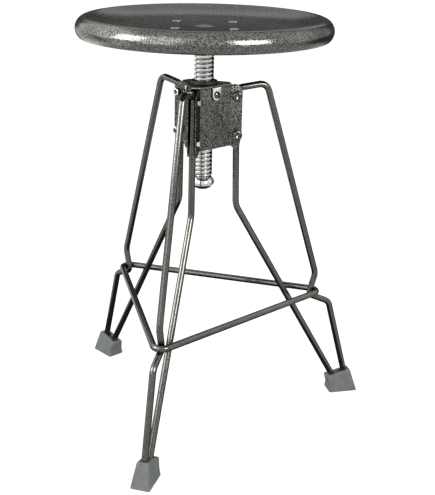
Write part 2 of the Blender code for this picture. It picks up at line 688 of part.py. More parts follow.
def tangent_corner(upper, lower, centre, clearance):
    """Corner of two straight runs that both pass a round rod at a clearance, on its inner side."""
    to_upper = centre - upper
    to_lower = centre - lower
    down = math.atan2(to_upper.y, to_upper.x) - math.asin(clearance / to_upper.length)
    back = math.atan2(to_lower.y, to_lower.x) + math.asin(clearance / to_lower.length)
    along = Vector((math.cos(down), math.sin(down)))
    other = Vector((math.cos(back), math.sin(back)))
    gap = lower - upper
    return upper + along * (gap.x * other.y - gap.y * other.x) / (along.x * other.y - along.y * other.x)


def leg_path():
    """Points of a leg's closed loop in its own plane."""
    ring_rod = Vector((RING_ROD_RADIUS, RING_HEIGHT))
    hug = ROD_DIAMETER + FIT_GAP
    kink = ring_rod + Vector((-KINK_INSET, KINK_RISE))
    lower_bend = ring_rod + Vector((LOWER_BEND_REACH, -LOWER_BEND_DROP))
    corners = [
        (Vector((LEG_TOP_RADIUS, ARM_HEIGHT)), ARM_CORNER_ROUND),
        (Vector((LEG_TOP_RADIUS + ARM_LENGTH, ARM_HEIGHT + ARM_RISE)), ARM_END_ROUND),
        (kink, KINK_ROUND),
        (tangent_corner(kink, lower_bend, ring_rod, hug), hug),
        (lower_bend, LOWER_BEND_ROUND),
        (Vector((TOE_ROD_RADIUS, FOOT_BEND_HEIGHT)), FOOT_BEND_ROUND),
        (Vector((HEEL_ROD_RADIUS, FOOT_BEND_HEIGHT)), FOOT_BEND_ROUND),
        (Vector((LEG_BEND_RADIUS, LEG_INNER_BEND_HEIGHT)), LEG_INNER_BEND_ROUND),
    ]
    return [(point.x, 0.0, point.y) for point in rounded_loop(corners)]


def make_leg():
    """Loop of bent rod, drilled for the two clamp screws."""
    drills = [
        pin(CLAMP_HOLE_RADIUS, (inner_run_radius(height), 0, height), (0, 1, 0), 2 * ROD_DIAMETER)
        for height in CLAMP_HEIGHTS
    ]
    return combine(bent_rod(leg_path(), ROD_RADIUS), drills, "DIFFERENCE")


def make_foot_ring():
    """Triangle of rod that wraps the outside of the legs."""
    corners = []
    for angle in CORNER_ANGLES:
        corner = polar(RING_CORNER_RADIUS, angle, 0.0)
        corners.append((Vector((corner.x, corner.y)), RING_BEND_ROUND))
    return bent_rod([(point.x, point.y, RING_HEIGHT) for point in rounded_loop(corners)], ROD_RADIUS)


def make_rubber_foot():
    """Wedge of rubber moulded over the end of a leg, with a slot between the two rods."""
    heel = FOOT_TOE_RADIUS - FOOT_SOLE_LENGTH
    toe_top = Vector((FOOT_TOE_RADIUS - FOOT_TOE_LEAN, FOOT_TOE_TOP_HEIGHT))
    heel_top = Vector((heel - FOOT_HEEL_LEAN, FOOT_HEEL_TOP_HEIGHT))
    waist = Vector((heel + FOOT_HEEL_WAIST, FOOT_HEEL_WAIST_HEIGHT))
    side = [(FOOT_TOE_RADIUS, 0.0), toe_top, heel_top, waist, (heel, 0.0)]
    half_width = FOOT_SOLE_WIDTH / 2
    taper = (half_width - FOOT_TOP_WIDTH / 2) / FOOT_TOE_TOP_HEIGHT
    bm = bmesh.new()
    bm.from_mesh(loft([[(r, way * (half_width - taper * z), z) for r, z in side] for way in (-1, 1)]))
    bmesh.ops.bevel(
        bm, geom=bm.edges, offset=FOOT_EDGE_ROUND, offset_type="OFFSET",
        segments=2, profile=0.5, affect="EDGES",
    )
    wedge = finish_mesh(bm)
    top_middle = (toe_top + heel_top) / 2
    slope = (toe_top - heel_top).normalized()
    rise = Vector((-slope.y, slope.x))
    reach = (TOE_ROD_RADIUS - HEEL_ROD_RADIUS) / 2
    slot_outline = [
        top_middle + slope * reach * across + rise * FOOT_SLOT_DEPTH * up
        for across, up in ((-1, -1), (1, -1), (1, 1), (-1, 1))
    ]
    slot = loft([[(p.x, way * FOOT_SLOT_WIDTH / 2, p.y) for p in slot_outline] for way in (-1, 1)])
    return combine(wedge, [bent_rod(leg_path(), ROD_RADIUS + FIT_GAP), slot], "DIFFERENCE")


def build_frame(axis, finishes):
    """Place the pieces that stand still: legs, feet, ring, bracket, nut and their fasteners."""
    enamel, zinc, rubber, steel = (finishes[name] for name in ("enamel", "zinc", "rubber", "steel"))
    leg, foot = make_leg(), make_rubber_foot()
    plate = make_bracket_plate()
    clamp_length = 2 * CLAMP_FACE + 2 * FIT_GAP + CLAMP_NUT_HEIGHT + CLAMP_SCREW_END
    clamp_screw = pan_screw(CLAMP_HEAD_RADIUS, CLAMP_HEAD_HEIGHT, CLAMP_SCREW_RADIUS, clamp_length)
    clamp_nut = hexagon_nut(CLAMP_NUT_ACROSS_FLATS, CLAMP_NUT_HEIGHT, CLAMP_HOLE_RADIUS)
    tab_screw_length = TAB_FACE + FIT_GAP - NUT_RADIUS - TAB_SCREW_TIP_ROOM
    tab_screw = pan_screw(TAB_HEAD_RADIUS, TAB_HEAD_HEIGHT, TAB_SCREW_RADIUS, tab_screw_length)
    place("spindle_nut", make_spindle_nut(), steel, axis)
    place("top_plate", make_top_plate(), zinc, axis)
    place("foot_ring", make_foot_ring(), enamel, axis)
    for number, angle in enumerate(PLATE_ANGLES, 1):
        place(f"bracket_plate_{number}", plate, enamel, axis, rotation=(0, 0, angle))
        seat = polar(TAB_FACE + FIT_GAP, angle, TAB_SCREW_HEIGHT)
        place(f"tab_screw_{number}", tab_screw, zinc, axis, seat, (0, math.pi / 2, angle))
    for number, angle in enumerate(CORNER_ANGLES, 1):
        place(f"leg_{number}", leg, enamel, axis, rotation=(0, 0, angle))
        place(f"rubber_foot_{number}", foot, rubber, axis, rotation=(0, 0, angle))
        across = polar(CLAMP_FACE + FIT_GAP, angle + math.pi / 2, 0.0)
        for level, height in zip(("lower", "upper"), CLAMP_HEIGHTS):
            middle = polar(inner_run_radius(height), angle, height)
            screw_name = f"clamp_screw_{level}_{number}"
            nut_name = f"clamp_nut_{level}_{number}"
            place(screw_name, clamp_screw, zinc, axis, middle - across, (math.pi / 2, 0, angle))
            place(nut_name, clamp_nut, zinc, axis, middle + across, (-math.pi / 2, 0, angle))


def build_seat(axis, finishes):
    """Place the pieces that turn and rise together: spindle, ball, mounting plate, pan and screws."""
    place("spindle", make_spindle(), finishes["chrome"], axis)
    place("stop_ball", make_stop_ball(), finishes["chrome"], axis)
    place("seat_mount_plate", make_mount_plate(), finishes["steel"], axis)
    place("seat_pan", make_seat_pan(), finishes["enamel"], axis)
    screw_radius = math.hypot(SEAT_SCREW_SPACING, SEAT_SCREW_SPACING) / 2
    seat = dish_height(screw_radius + SEAT_HEAD_RADIUS) + FIT_GAP
    length = seat - MOUNT_PLATE_BOTTOM + SEAT_SCREW_END
    screw = pan_screw(SEAT_HEAD_RADIUS, SEAT_HEAD_HEIGHT, SEAT_SCREW_RADIUS, length)
    for number, point in enumerate(seat_screw_points(), 1):
        place(f"seat_screw_{number}", screw, finishes["zinc"], axis, (*point, seat))


def main():
    """Build the stool."""
    clear_scene()
    finishes = {
        "enamel": make_material("hammertone_enamel", (0.105, 0.107, 0.09), 0.38, 0.35),
        "chrome": make_material("chromed_steel", (0.62, 0.62, 0.61), 0.12, 1.0),
        "zinc": make_material("zinc_plated_steel", (0.6, 0.6, 0.58), 0.28, 1.0),
        "steel": make_material("blackened_steel", (0.05, 0.05, 0.05), 0.45, 0.8),
        "rubber": make_material("grey_rubber", (0.21, 0.22, 0.205), 0.75, 0.0),
    }
    frame_axis = make_empty("spindle_axis", (0.0, AXIS_Y, 0.0))
    seat_axis = make_empty("seat_turning_axis", (0.0, 0.0, 0.0), frame_axis)
    build_frame(frame_axis, finishes)
    build_seat(seat_axis, finishes)


main()
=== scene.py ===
"""Dresses the screw-adjusted stool: fine surfaces, finishes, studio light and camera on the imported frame.

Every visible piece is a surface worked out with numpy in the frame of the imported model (metres, +Z up), and
stands for the CAD node of the same shape. Sizes of the stool are given in millimetres, as on a drawing, and
those of the studio in metres.
"""

import logging
import math
from dataclasses import dataclass, field
from enum import Enum

import bmesh
import bpy
import numpy as np
from mathutils import Matrix


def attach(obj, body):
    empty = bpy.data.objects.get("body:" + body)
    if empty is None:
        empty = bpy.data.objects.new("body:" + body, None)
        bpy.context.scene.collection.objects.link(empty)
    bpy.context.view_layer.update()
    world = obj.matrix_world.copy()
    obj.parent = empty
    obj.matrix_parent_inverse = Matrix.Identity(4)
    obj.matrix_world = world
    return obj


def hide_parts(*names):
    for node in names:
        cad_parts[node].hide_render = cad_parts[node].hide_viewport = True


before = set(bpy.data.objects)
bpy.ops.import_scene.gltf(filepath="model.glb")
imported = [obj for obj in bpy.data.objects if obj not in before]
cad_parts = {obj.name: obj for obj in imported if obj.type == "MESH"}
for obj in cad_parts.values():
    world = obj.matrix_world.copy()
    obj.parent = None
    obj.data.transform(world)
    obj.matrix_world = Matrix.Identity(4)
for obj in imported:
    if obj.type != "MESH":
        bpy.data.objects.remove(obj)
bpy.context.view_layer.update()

Pair = tuple[float, float]
Triple = tuple[float, float, float]
Socket = bpy.types.NodeSocket
Tree = bpy.types.NodeTree

LOG = logging.getLogger("stool")
MM = 0.001
SPINDLE_Y = 40.15 * MM
# Top and bend of a leg's inner run: distance from the spindle and height, in millimetres
INNER_RUN_TOP = (46.426, 488.4)
INNER_RUN_BEND = (50.026, 317.5)
CORNER_ANGLES = (30.0, 150.0, 270.0)
PLATE_ANGLES = (90.0, 210.0, 330.0)
SQUARE = ((1, 1), (-1, 1), (-1, -1), (1, -1))
# Gap between a fastener and the face that it sits on, in millimetres
FIT_GAP = 0.3
WELD_DISTANCE = 0.002 * MM
# Edges sharper than this angle in degrees stay sharp, unless a piece says otherwise
CREASE = 32.0
# Share of open sky between which a hollow goes from full painted shade to none, and rays that look for it
SHADED_HOLLOW_SKY = (0.45, 0.9)
SKY_RAYS = 8


class Body(Enum):
    """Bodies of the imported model."""

    FRAME = "frame"
    STOP = "stop"
    SEAT = "seat"


class Coat(Enum):
    """How thick a finish lies on a piece. Some copies also carry painted shade: heavy and thin zinc are
    darker copies of the bright zinc, and heavy enamel and heavy chrome darken their hollows further.
    """

    HEAVY_AND_SHADED = "heavy_and_shaded"
    FULL = "full"
    THIN_AND_SHADED = "thin_and_shaded"


class Ray(Enum):
    """Kinds of ray, each with the setting that lets an object meet it."""

    CAMERA = "visible_camera"
    DIFFUSE = "visible_diffuse"
    GLOSSY = "visible_glossy"
    SHADOW = "visible_shadow"


class Slot(Enum):
    """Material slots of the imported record."""

    ENAMEL = "hammertone_enamel"
    CHROME = "chromed_steel"
    ZINC = "zinc_plated_steel"
    BLACK = "blackened_steel"
    RUBBER = "grey_rubber"


# Finishes


def linear(colour: str) -> tuple[float, float, float, float]:
    """Turn an sRGB hex colour into linear RGBA.

    Args:
        colour: six hex digits after a hash sign.

    Returns:
        The linear colour, fully opaque.
    """
    parts = np.array([int(colour[start : start + 2], 16) for start in (1, 3, 5)]) / 255.0
    values = np.where(parts <= 0.04045, parts / 12.92, ((parts + 0.055) / 1.055) ** 2.4)
    return (*(float(value) for value in values), 1.0)


def add_node(tree: Tree, kind: str, inputs: dict | None = None, **settings: object) -> bpy.types.Node:
    """Add a node with its settings, input values and links.

    Args:
        tree: node tree that takes the node.
        kind: node type.
        inputs: value or source socket for each input, by name or number.
        settings: properties of the node itself.

    Returns:
        The new node.
    """
    node = tree.nodes.new(kind)
    for name, value in settings.items():
        setattr(node, name, value)
    for name, value in (inputs or {}).items():
        if isinstance(value, Socket):
            tree.links.new(value, node.inputs[name])
        else:
            node.inputs[name].default_value = value
    return node


def grain_scale(millimetres: float) -> float:
    """Texture scale that gives a pattern a real size on Object coordinates."""
    return 1.0 / (millimetres * MM)


def span(value: Socket, source: Pair, target: Pair = (0.0, 1.0)) -> dict[str, object]:
    """Inputs that carry a value from one range to another, held at both ends.

    Args:
        value: socket with the value.
        source: range that the value runs over.
        target: range that the result runs over.

    Returns:
        What goes into each input, by name.
    """
    names = ("Value", "From Min", "From Max", "To Min", "To Max")
    return dict(zip(names, (value, *source, *target)))


def tinted(tree: Tree, pattern: Socket, places: Pair, tones: tuple[str, str]) -> Socket:
    """Colour a pattern: one tone up to its first place, another from its second on, a blend between them.

    Args:
        tree: node tree that takes the nodes.
        pattern: socket from 0 to 1.
        places: values of the pattern at which the blend starts and ends.
        tones: the two sRGB hex colours.

    Returns:
        The colour's socket.
    """
    share = add_node(tree, "ShaderNodeMapRange", span(pattern, places)).outputs["Result"]
    inputs = {"Factor": share, "A": linear(tones[0]), "B": linear(tones[1])}
    return add_node(tree, "ShaderNodeMix", inputs, data_type="RGBA").outputs["Result"]


def new_material(name: str) -> tuple[bpy.types.Material, Tree, bpy.types.Node]:
    """Start a material.

    Args:
        name: the material's name.

    Returns:
        The material, its tree and its shader.
    """
    material = bpy.data.materials.new(name)
    material.use_nodes = True
    tree = material.node_tree
    return material, tree, tree.nodes["Principled BSDF"]


@dataclass(frozen=True)
class Finish:
    """A finish: what the surface is made of and how it was made.

    Its grain is a noise of a real size that sets the colour, between two tones, and the gloss. A finish with
    a depth has waves, and one with a hollow shade has painted shade that darkens its hollows.
    """

    slot: Slot
    coat: Coat = Coat.FULL
    metallic: float = 1.0
    grain_mm: float = 6.0
    grain_detail: float = 4.0
    distortion: float = 0.0
    tone_range: Pair = (0.3, 0.7)
    dark: str = "#000000"
    pale: str = "#ffffff"
    roughness: Pair = (0.0, 1.0)
    # Painted shade: the colour that darkens the hollows, and how far off a surface can be and still darken
    # them
    hollow_shade: str = ""
    hollow_shade_reach_mm: float = 3.0
    depth_mm: float = 0.0
    strength: float = 1.0

    def grain(self, tree: Tree, place: Socket) -> Socket:
        """Lay out the grain.

        Args:
            tree: node tree that takes the nodes.
            place: Object coordinates.

        Returns:
            The grain's socket, from 0 to 1.
        """
        inputs = {
            "Vector": place,
            "Scale": grain_scale(self.grain_mm),
            "Detail": self.grain_detail,
            "Distortion": self.distortion,
        }
        return add_node(tree, "ShaderNodeTexNoise", inputs).outputs["Fac"]

    def patterns(self, tree: Tree, place: Socket) -> tuple[Socket, Socket]:
        """Lay out the patterns of the surface, before its painted shade.

        Args:
            tree: node tree that takes the nodes.
            place: Object coordinates.

        Returns:
            The colour, and the pattern that sets gloss and waves.
        """
        grain = self.grain(tree, place)
        return tinted(tree, grain, self.tone_range, (self.dark, self.pale)), grain

    def shade_hollows(self, tree: Tree, unshaded: Socket) -> Socket:
        """Paint shade into the hollows: the more of the sky near surfaces hide, the darker the colour.

        Args:
            tree: node tree that takes the nodes.
            unshaded: colour of the surface before its painted shade.

        Returns:
            The socket of the colour with its painted shade.
        """
        reach = {"Distance": self.hollow_shade_reach_mm * MM}
        sky = add_node(tree, "ShaderNodeAmbientOcclusion", reach, samples=SKY_RAYS).outputs["AO"]
        share = add_node(tree, "ShaderNodeMapRange", span(sky, SHADED_HOLLOW_SKY), interpolation_type="SMOOTHSTEP")
        inputs = {"Factor": share.outputs["Result"], "A": linear(self.hollow_shade), "B": unshaded}
        return add_node(tree, "ShaderNodeMix", inputs, data_type="RGBA").outputs["Result"]

    def make(self) -> bpy.types.Material:
        """Build the material from its patterns, painted hollow shade, gloss and waves.

        Returns:
            The material, named for its slot and coat.
        """
        material, tree, shader = new_material(f"{self.slot.value}_{self.coat.value}_coat")
        shader.inputs["Metallic"].default_value = self.metallic
        place = add_node(tree, "ShaderNodeTexCoord").outputs["Object"]
        colour, pattern = self.patterns(tree, place)
        # Painted shade darkens the hollows
        if self.hollow_shade:
            colour = self.shade_hollows(tree, colour)
        tree.links.new(colour, shader.inputs["Base Color"])
        inputs = span(pattern, (0.0, 1.0), self.roughness)
        gloss = add_node(tree, "ShaderNodeMapRange", inputs, interpolation_type="SMOOTHSTEP")
        tree.links.new(gloss.outputs["Result"], shader.inputs["Roughness"])
        if self.depth_mm:
            inputs = {"Height": pattern, "Strength": self.strength, "Distance": self.depth_mm * MM}
            waves = add_node(tree, "ShaderNodeBump", inputs)
            tree.links.new(waves.outputs["Normal"], shader.inputs["Normal"])
        return material


@dataclass(frozen=True)
class HammertoneEnamel(Finish):
    """Stoved hammertone enamel on steel.

    The wet film draws itself into shallow domes, and aluminium flake makes their tops paler: the eye sees a
    glossy dark greenish grey with pale squiggles and broken highlights, in clouds about 45 mm across.
    """

    metallic: float = 0.97
    grain_mm: float = 1.7
    grain_detail: float = 0.0
    distortion: float = 0.35
    tone_range: Pair = (0.2, 0.8)
    dark: str = "#50514c"
    pale: str = "#80817b"
    roughness: Pair = (0.12, 0.22)
    # Near-black painted shade in the hollows
    hollow_shade: str = "#1d1d1b"
    depth_mm: float = 0.035
    dome_range: Pair = (0.3, 0.7)
    cloud_mm: float = 45.0
    cloud_detail: float = 3.0
    cloud_range: Pair = (0.3, 0.7)
    cloud_tones: tuple[str, str] = ("#e4e4e4", "#ffffff")

    def patterns(self, tree: Tree, place: Socket) -> tuple[Socket, Socket]:
        """Lay out domes and clouds: a dome is a smooth step of the grain, and clouds dim its colour.

        Args:
            tree: node tree that takes the nodes.
            place: Object coordinates.

        Returns:
            The colour, and the domes that set gloss and waves.
        """
        inputs = span(self.grain(tree, place), self.dome_range)
        steps = add_node(tree, "ShaderNodeMapRange", inputs, interpolation_type="SMOOTHSTEP")
        dome = steps.outputs["Result"]
        flake = tinted(tree, dome, self.tone_range, (self.dark, self.pale))
        inputs = {"Vector": place, "Scale": grain_scale(self.cloud_mm), "Detail": self.cloud_detail}
        cloud = add_node(tree, "ShaderNodeTexNoise", inputs).outputs["Fac"]
        inputs = {"Factor": 1.0, "A": flake, "B": tinted(tree, cloud, self.cloud_range, self.cloud_tones)}
        colour = add_node(tree, "ShaderNodeMix", inputs, data_type="RGBA", blend_type="MULTIPLY")
        return colour.outputs["Result"], dome


@dataclass(frozen=True)
class ChromedSteel(Finish):
    """Turned and polished steel, bright chrome plated.

    The eye sees sharp reflections, with the faint smears that handling leaves.
    """

    grain_mm: float = 9.0
    tone_range: Pair = (0.3, 0.6)
    dark: str = "#c9cac8"
    pale: str = "#d9dad8"
    roughness: Pair = (0.03, 0.12)
    # Faint painted shade in the hollows
    hollow_shade: str = "#a5a5a2"


@dataclass(frozen=True)
class ZincPlatedSteel(Finish):
    """Pressed steel with bright zinc plating.

    The eye sees a soft silvery sheen, slightly mottled where the plating crystals differ.
    """

    grain_mm: float = 3.0
    grain_detail: float = 5.0
    tone_range: Pair = (0.3, 0.65)
    dark: str = "#e2e2de"
    pale: str = "#f8f8f5"
    roughness: Pair = (0.06, 0.2)
    # Near-black painted shade in the hollows, such as a screw's cross recess
    hollow_shade: str = "#0b0b0a"
    hollow_shade_reach_mm: float = 6.0


@dataclass(frozen=True)
class BlackenedSteel(Finish):
    """Machined steel, blackened in a hot salt bath.

    The eye sees a near black, half matte skin with paler rubbed patches and an oily sheen.
    """

    metallic: float = 0.7
    grain_detail: float = 6.0
    tone_range: Pair = (0.35, 0.7)
    dark: str = "#1f1f1e"
    pale: str = "#3a3a37"
    roughness: Pair = (0.35, 0.55)


@dataclass(frozen=True)
class GreyRubber(Finish):
    """Compression-moulded grey rubber.

    The eye sees a matte warm grey with a dusty bloom and the tooth of the mould. The tooth is drawn as coarse
    as it needs to be to show.
    """

    metallic: float = 0.0
    grain_mm: float = 8.0
    dark: str = "#505350"
    pale: str = "#5d605c"
    roughness: Pair = (0.6, 0.85)
    depth_mm: float = 0.08
    strength: float = 0.6
    tooth_mm: float = 0.9
    tooth_detail: float = 2.0

    def patterns(self, tree: Tree, place: Socket) -> tuple[Socket, Socket]:
        """Lay out bloom and tooth: the bloom is the grain, and the tooth a finer noise.

        Args:
            tree: node tree that takes the nodes.
            place: Object coordinates.

        Returns:
            The bloom's colour, and the tooth that sets gloss and waves.
        """
        bloom, _ = super().patterns(tree, place)
        inputs = {"Vector": place, "Scale": grain_scale(self.tooth_mm), "Detail": self.tooth_detail}
        return bloom, add_node(tree, "ShaderNodeTexNoise", inputs).outputs["Fac"]


# Surfaces


@dataclass
class Shell:
    """A grid of points that makes one closed surface, with the number of the finish that it takes."""

    points: np.ndarray
    rows_close: bool = False
    finish: int = 0

    def quads(self) -> np.ndarray:
        """Number the grid's faces; the columns always run round and close.

        Returns:
            Array of (faces, 4) corner numbers.
        """
        rows, columns = self.points.shape[:2]
        numbers = np.arange(rows * columns).reshape(rows, columns)
        beside = np.roll(numbers, -1, axis=1)
        above = np.roll(numbers, -1, axis=0)
        corner = np.roll(above, -1, axis=1)
        faces = np.stack([numbers, beside, corner, above], axis=-1)
        return (faces if self.rows_close else faces[:-1]).reshape(-1, 4)


def arc(centre: Pair, radius: float, first: float, last: float, count: int) -> np.ndarray:
    """Points of an arc: centre plus radius times (cos, sin) of evenly spaced angles.

    Args:
        centre: middle of the arc.
        radius: its radius.
        first: first angle in degrees.
        last: last angle in degrees.
        count: number of points.

    Returns:
        Array of (count, 2) points.
    """
    angles = np.radians(np.linspace(first, last, count))
    return np.array(centre) + radius * np.stack([np.cos(angles), np.sin(angles)], axis=-1)


def rounded_loop(corners: list[Triple], step: float = 5.0) -> np.ndarray:
    """Closed outline whose corners are arcs that touch both straight runs.

    Each arc's centre lies on the corner's bisector, at radius over the sine of half the corner's angle.

    Args:
        corners: (x, y, radius) of each corner in order.
        step: largest turn between two points of an arc, in degrees.

    Returns:
        Array of (n, 2) points.
    """
    places = np.array([corner[:2] for corner in corners])
    runs = []
    for number, (x, y, radius) in enumerate(corners):
        before = places[number - 1] - (x, y)
        after = places[(number + 1) % len(corners)] - (x, y)
        before /= np.linalg.norm(before)
        after /= np.linalg.norm(after)
        half = math.acos(float(before @ after)) / 2
        bisector = (before + after) / np.linalg.norm(before + after)
        middle = np.array((x, y)) + bisector * radius / math.sin(half)
        first = np.array((x, y)) + before * radius / math.tan(half) - middle
        sweep = math.pi - 2 * half
        side = math.copysign(1.0, before[0] * after[1] - before[1] * after[0])
        turns = -side * np.linspace(0.0, sweep, max(3, math.ceil(math.degrees(sweep) / step) + 1))
        cos, sin = np.cos(turns), np.sin(turns)
        bend = np.stack([cos * first[0] - sin * first[1], sin * first[0] + cos * first[1]], axis=-1)
        runs.append(middle + bend)
    return np.concatenate(runs)


def swept_loop(path: np.ndarray, radius: float, sides: int = 28) -> np.ndarray:
    """Round rod along a closed plane path.

    A point is the path's point plus radius times (cos a on the in-plane normal, sin a out of the plane).

    Args:
        path: (n, 2) points in the path's plane.
        radius: radius of the rod.
        sides: points round the rod.

    Returns:
        Grid of (n, sides, 3): in-plane x, out of plane, in-plane y.
    """
    along = np.roll(path, -1, axis=0) - np.roll(path, 1, axis=0)
    along /= np.linalg.norm(along, axis=1, keepdims=True)
    normal = np.stack([along[:, 1], -along[:, 0]], axis=-1)
    angles = np.linspace(0.0, math.tau, sides, endpoint=False)
    flat = path[:, None, :] + radius * np.cos(angles)[None, :, None] * normal[:, None, :]
    out = np.broadcast_to(radius * np.sin(angles), flat.shape[:2])
    return np.stack([flat[..., 0], out, flat[..., 1]], axis=-1)


def ringed(radius: np.ndarray | float, height: np.ndarray | float, angles: np.ndarray) -> np.ndarray:
    """Points round the spindle: (r cos a, r sin a, z), with radius and height spread over the angles."""
    return np.stack(np.broadcast_arrays(radius * np.cos(angles), radius * np.sin(angles), height), axis=-1)


def turned(profile: np.ndarray, sides: int = 96) -> np.ndarray:
    """Surface of revolution: (r cos a, r sin a, z) for each profile point and angle.

    Args:
        profile: (n, 2) radii and heights.
        sides: points round the axis.

    Returns:
        Grid of (n, sides, 3).
    """
    return ringed(profile[:, :1], profile[:, 1:], np.linspace(0.0, math.tau, sides, endpoint=False))


def offset(profile: np.ndarray, distance: float) -> np.ndarray:
    """Shift an open profile to its right-hand side by a distance along its normals.

    Args:
        profile: (n, 2) points.
        distance: how far to shift.

    Returns:
        The shifted points.
    """
    along = np.gradient(profile, axis=0)
    along /= np.linalg.norm(along, axis=1, keepdims=True)
    return profile + distance * np.stack([along[:, 1], -along[:, 0]], axis=-1)


def smooth_step(values: np.ndarray, low: float, high: float) -> np.ndarray:
    """Rise from 0 to 1 between two values, without a crease at either end."""
    share = np.clip((values - low) / (high - low), 0.0, 1.0)
    return share * share * (3.0 - 2.0 * share)


def sheet_section(
    half_thickness: np.ndarray, low: np.ndarray, high: np.ndarray, edge: float, count: int = 4
) -> np.ndarray:
    """Rounded rectangle across a sheet, one for each point of the sheet's path.

    Corner arcs of the edge radius sit at plus and minus half the thickness, at the low and the high end.

    Args:
        half_thickness: half the sheet's thickness at each path point.
        low: lower end at each path point.
        high: upper end at each path point.
        edge: radius of the edges.
        count: points of each corner's arc.

    Returns:
        Array of (n, 4 * count, 2): place across the sheet and along its width.
    """
    quarter = np.radians(np.linspace(0.0, 90.0, count))
    angles = np.concatenate([quarter + number * math.pi / 2 for number in range(4)])
    side = np.repeat([1.0, -1.0, -1.0, 1.0], count)
    at_high = np.repeat([True, True, False, False], count)
    rounding = np.minimum(edge, half_thickness)[:, None]
    across = side * (half_thickness[:, None] - rounding) + rounding * np.cos(angles)
    ends = np.where(at_high, high[:, None] - rounding, low[:, None] + rounding)
    return np.stack([across, ends + rounding * np.sin(angles)], axis=-1)


def polygon_reach(faces: list[Pair], angles: np.ndarray, inset: float = 0.0) -> np.ndarray:
    """Distance from the middle to a polygon's outline: least face distance over the cosine to its normal.

    Args:
        faces: distance and direction in degrees of each face.
        angles: directions to look in, in radians.
        inset: how far each face is moved in.

    Returns:
        The outline's radius at each angle.
    """
    least_cosine = 0.05
    distances = np.array([distance for distance, _ in faces])[:, None] - inset
    normals = np.radians([direction for _, direction in faces])
    cosines = np.cos(angles[None, :] - normals[:, None])
    reach = np.where(cosines > least_cosine, distances / np.maximum(cosines, least_cosine), np.inf)
    return reach.min(axis=0)


def placed(points: np.ndarray, angle: float = 0.0) -> np.ndarray:
    """Turn points about the spindle's axis and set them in the model's frame.

    Args:
        points: places in millimetres from the spindle.
        angle: how far to turn, in degrees.

    Returns:
        The points in metres.
    """
    cos, sin = math.cos(math.radians(angle)), math.sin(math.radians(angle))
    turn = np.array([[cos, sin, 0.0], [-sin, cos, 0.0], [0.0, 0.0, 1.0]])
    return (points @ turn) * MM + (0.0, SPINDLE_Y, 0.0)


def make_piece(name: str, shells: list[Shell], crease: float) -> bpy.types.Object:
    """Put closed grids into one mesh object, with poles and seams welded and faces outward.

    Args:
        name: the piece's name.
        shells: closed surfaces in the model's frame.
        crease: edges sharper than this angle in degrees stay sharp.

    Returns:
        The new object, at the origin.
    """
    starts = np.cumsum([0] + [shell.points.shape[0] * shell.points.shape[1] for shell in shells[:-1]])
    points = np.concatenate([shell.points.reshape(-1, 3) for shell in shells])
    quads = [shell.quads() for shell in shells]
    faces = np.concatenate([corners + start for corners, start in zip(quads, starts)])
    finishes = [np.full(len(corners), shell.finish, np.int32) for corners, shell in zip(quads, shells)]
    mesh = bpy.data.meshes.new(name)
    mesh.from_pydata(points.tolist(), [], faces.tolist())
    mesh.polygons.foreach_set("material_index", np.concatenate(finishes))
    welded = bmesh.new()
    welded.from_mesh(mesh)
    bmesh.ops.remove_doubles(welded, verts=welded.verts, dist=WELD_DISTANCE)
    bmesh.ops.recalc_face_normals(welded, faces=welded.faces)
    welded.to_mesh(mesh)
    welded.free()
    mesh.shade_smooth()
    mesh.set_sharp_from_angle(angle=math.radians(crease))
    piece = bpy.data.objects.new(name, mesh)
    bpy.context.scene.collection.objects.link(piece)
    return piece


class Workshop:
    """Makes each finish once, and makes pieces and dresses them."""

    def __init__(self) -> None:
        """Make the finishes."""
        finishes = (
            # Heavy enamel, for the bracket: finer, stronger flecks, and painted shade that reaches 9 mm into
            # the hollows
            HammertoneEnamel(
                Slot.ENAMEL,
                Coat.HEAVY_AND_SHADED,
                grain_mm=1.5,
                dark="#30312d",
                pale="#84857f",
                hollow_shade_reach_mm=9.0,
                depth_mm=0.05,
            ),
            HammertoneEnamel(Slot.ENAMEL),
            HammertoneEnamel(
                Slot.ENAMEL, Coat.THIN_AND_SHADED, dark="#595a55", pale="#6f706b", roughness=(0.07, 0.14), depth_mm=0.01
            ),
            # Heavy chrome, for the ball: near-black painted shade that reaches 14 mm into the hollows
            ChromedSteel(Slot.CHROME, Coat.HEAVY_AND_SHADED, hollow_shade="#1d1d1b", hollow_shade_reach_mm=14.0),
            ChromedSteel(Slot.CHROME),
            ZincPlatedSteel(Slot.ZINC),
            # Heavy and thin zinc are darker copies of the bright zinc: painted shade on the top plate and the
            # screws
            ZincPlatedSteel(Slot.ZINC, Coat.HEAVY_AND_SHADED, dark="#4c4c4a", pale="#82827e"),
            ZincPlatedSteel(Slot.ZINC, Coat.THIN_AND_SHADED, dark="#92928e", pale="#c0c0bc"),
            BlackenedSteel(Slot.BLACK),
            GreyRubber(Slot.RUBBER),
        )
        self.materials = {(finish.slot, finish.coat): finish.make() for finish in finishes}

    def add(
        self,
        node: str,
        making: str,
        shells: list[Shell],
        slot: Slot,
        body: Body,
        *coats: Coat,
        crease: float = CREASE,
    ) -> None:
        """Make a piece and give it its finish, its body and the CAD node that it stands for.

        Args:
            node: the CAD node that it replaces.
            making: how it was made, which ends its name.
            shells: its closed surfaces.
            slot: its material slot.
            body: the body that it rides on.
            coats: how thick the finish lies, and which copy with painted shade it takes, for each number of
                its shells; full if none is given.
            crease: edges sharper than this angle in degrees stay sharp.
        """
        piece = make_piece(f"{node}_{making}", shells, crease)
        for coat in coats or (Coat.FULL,):
            piece.data.materials.append(self.materials[slot, coat])
        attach(piece, body.value)
        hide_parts(node)
        faces = len(piece.data.polygons)
        LOG.info("%s: %d faces, %s, rides on %s", piece.name, faces, slot.value, body.value)


# Fasteners


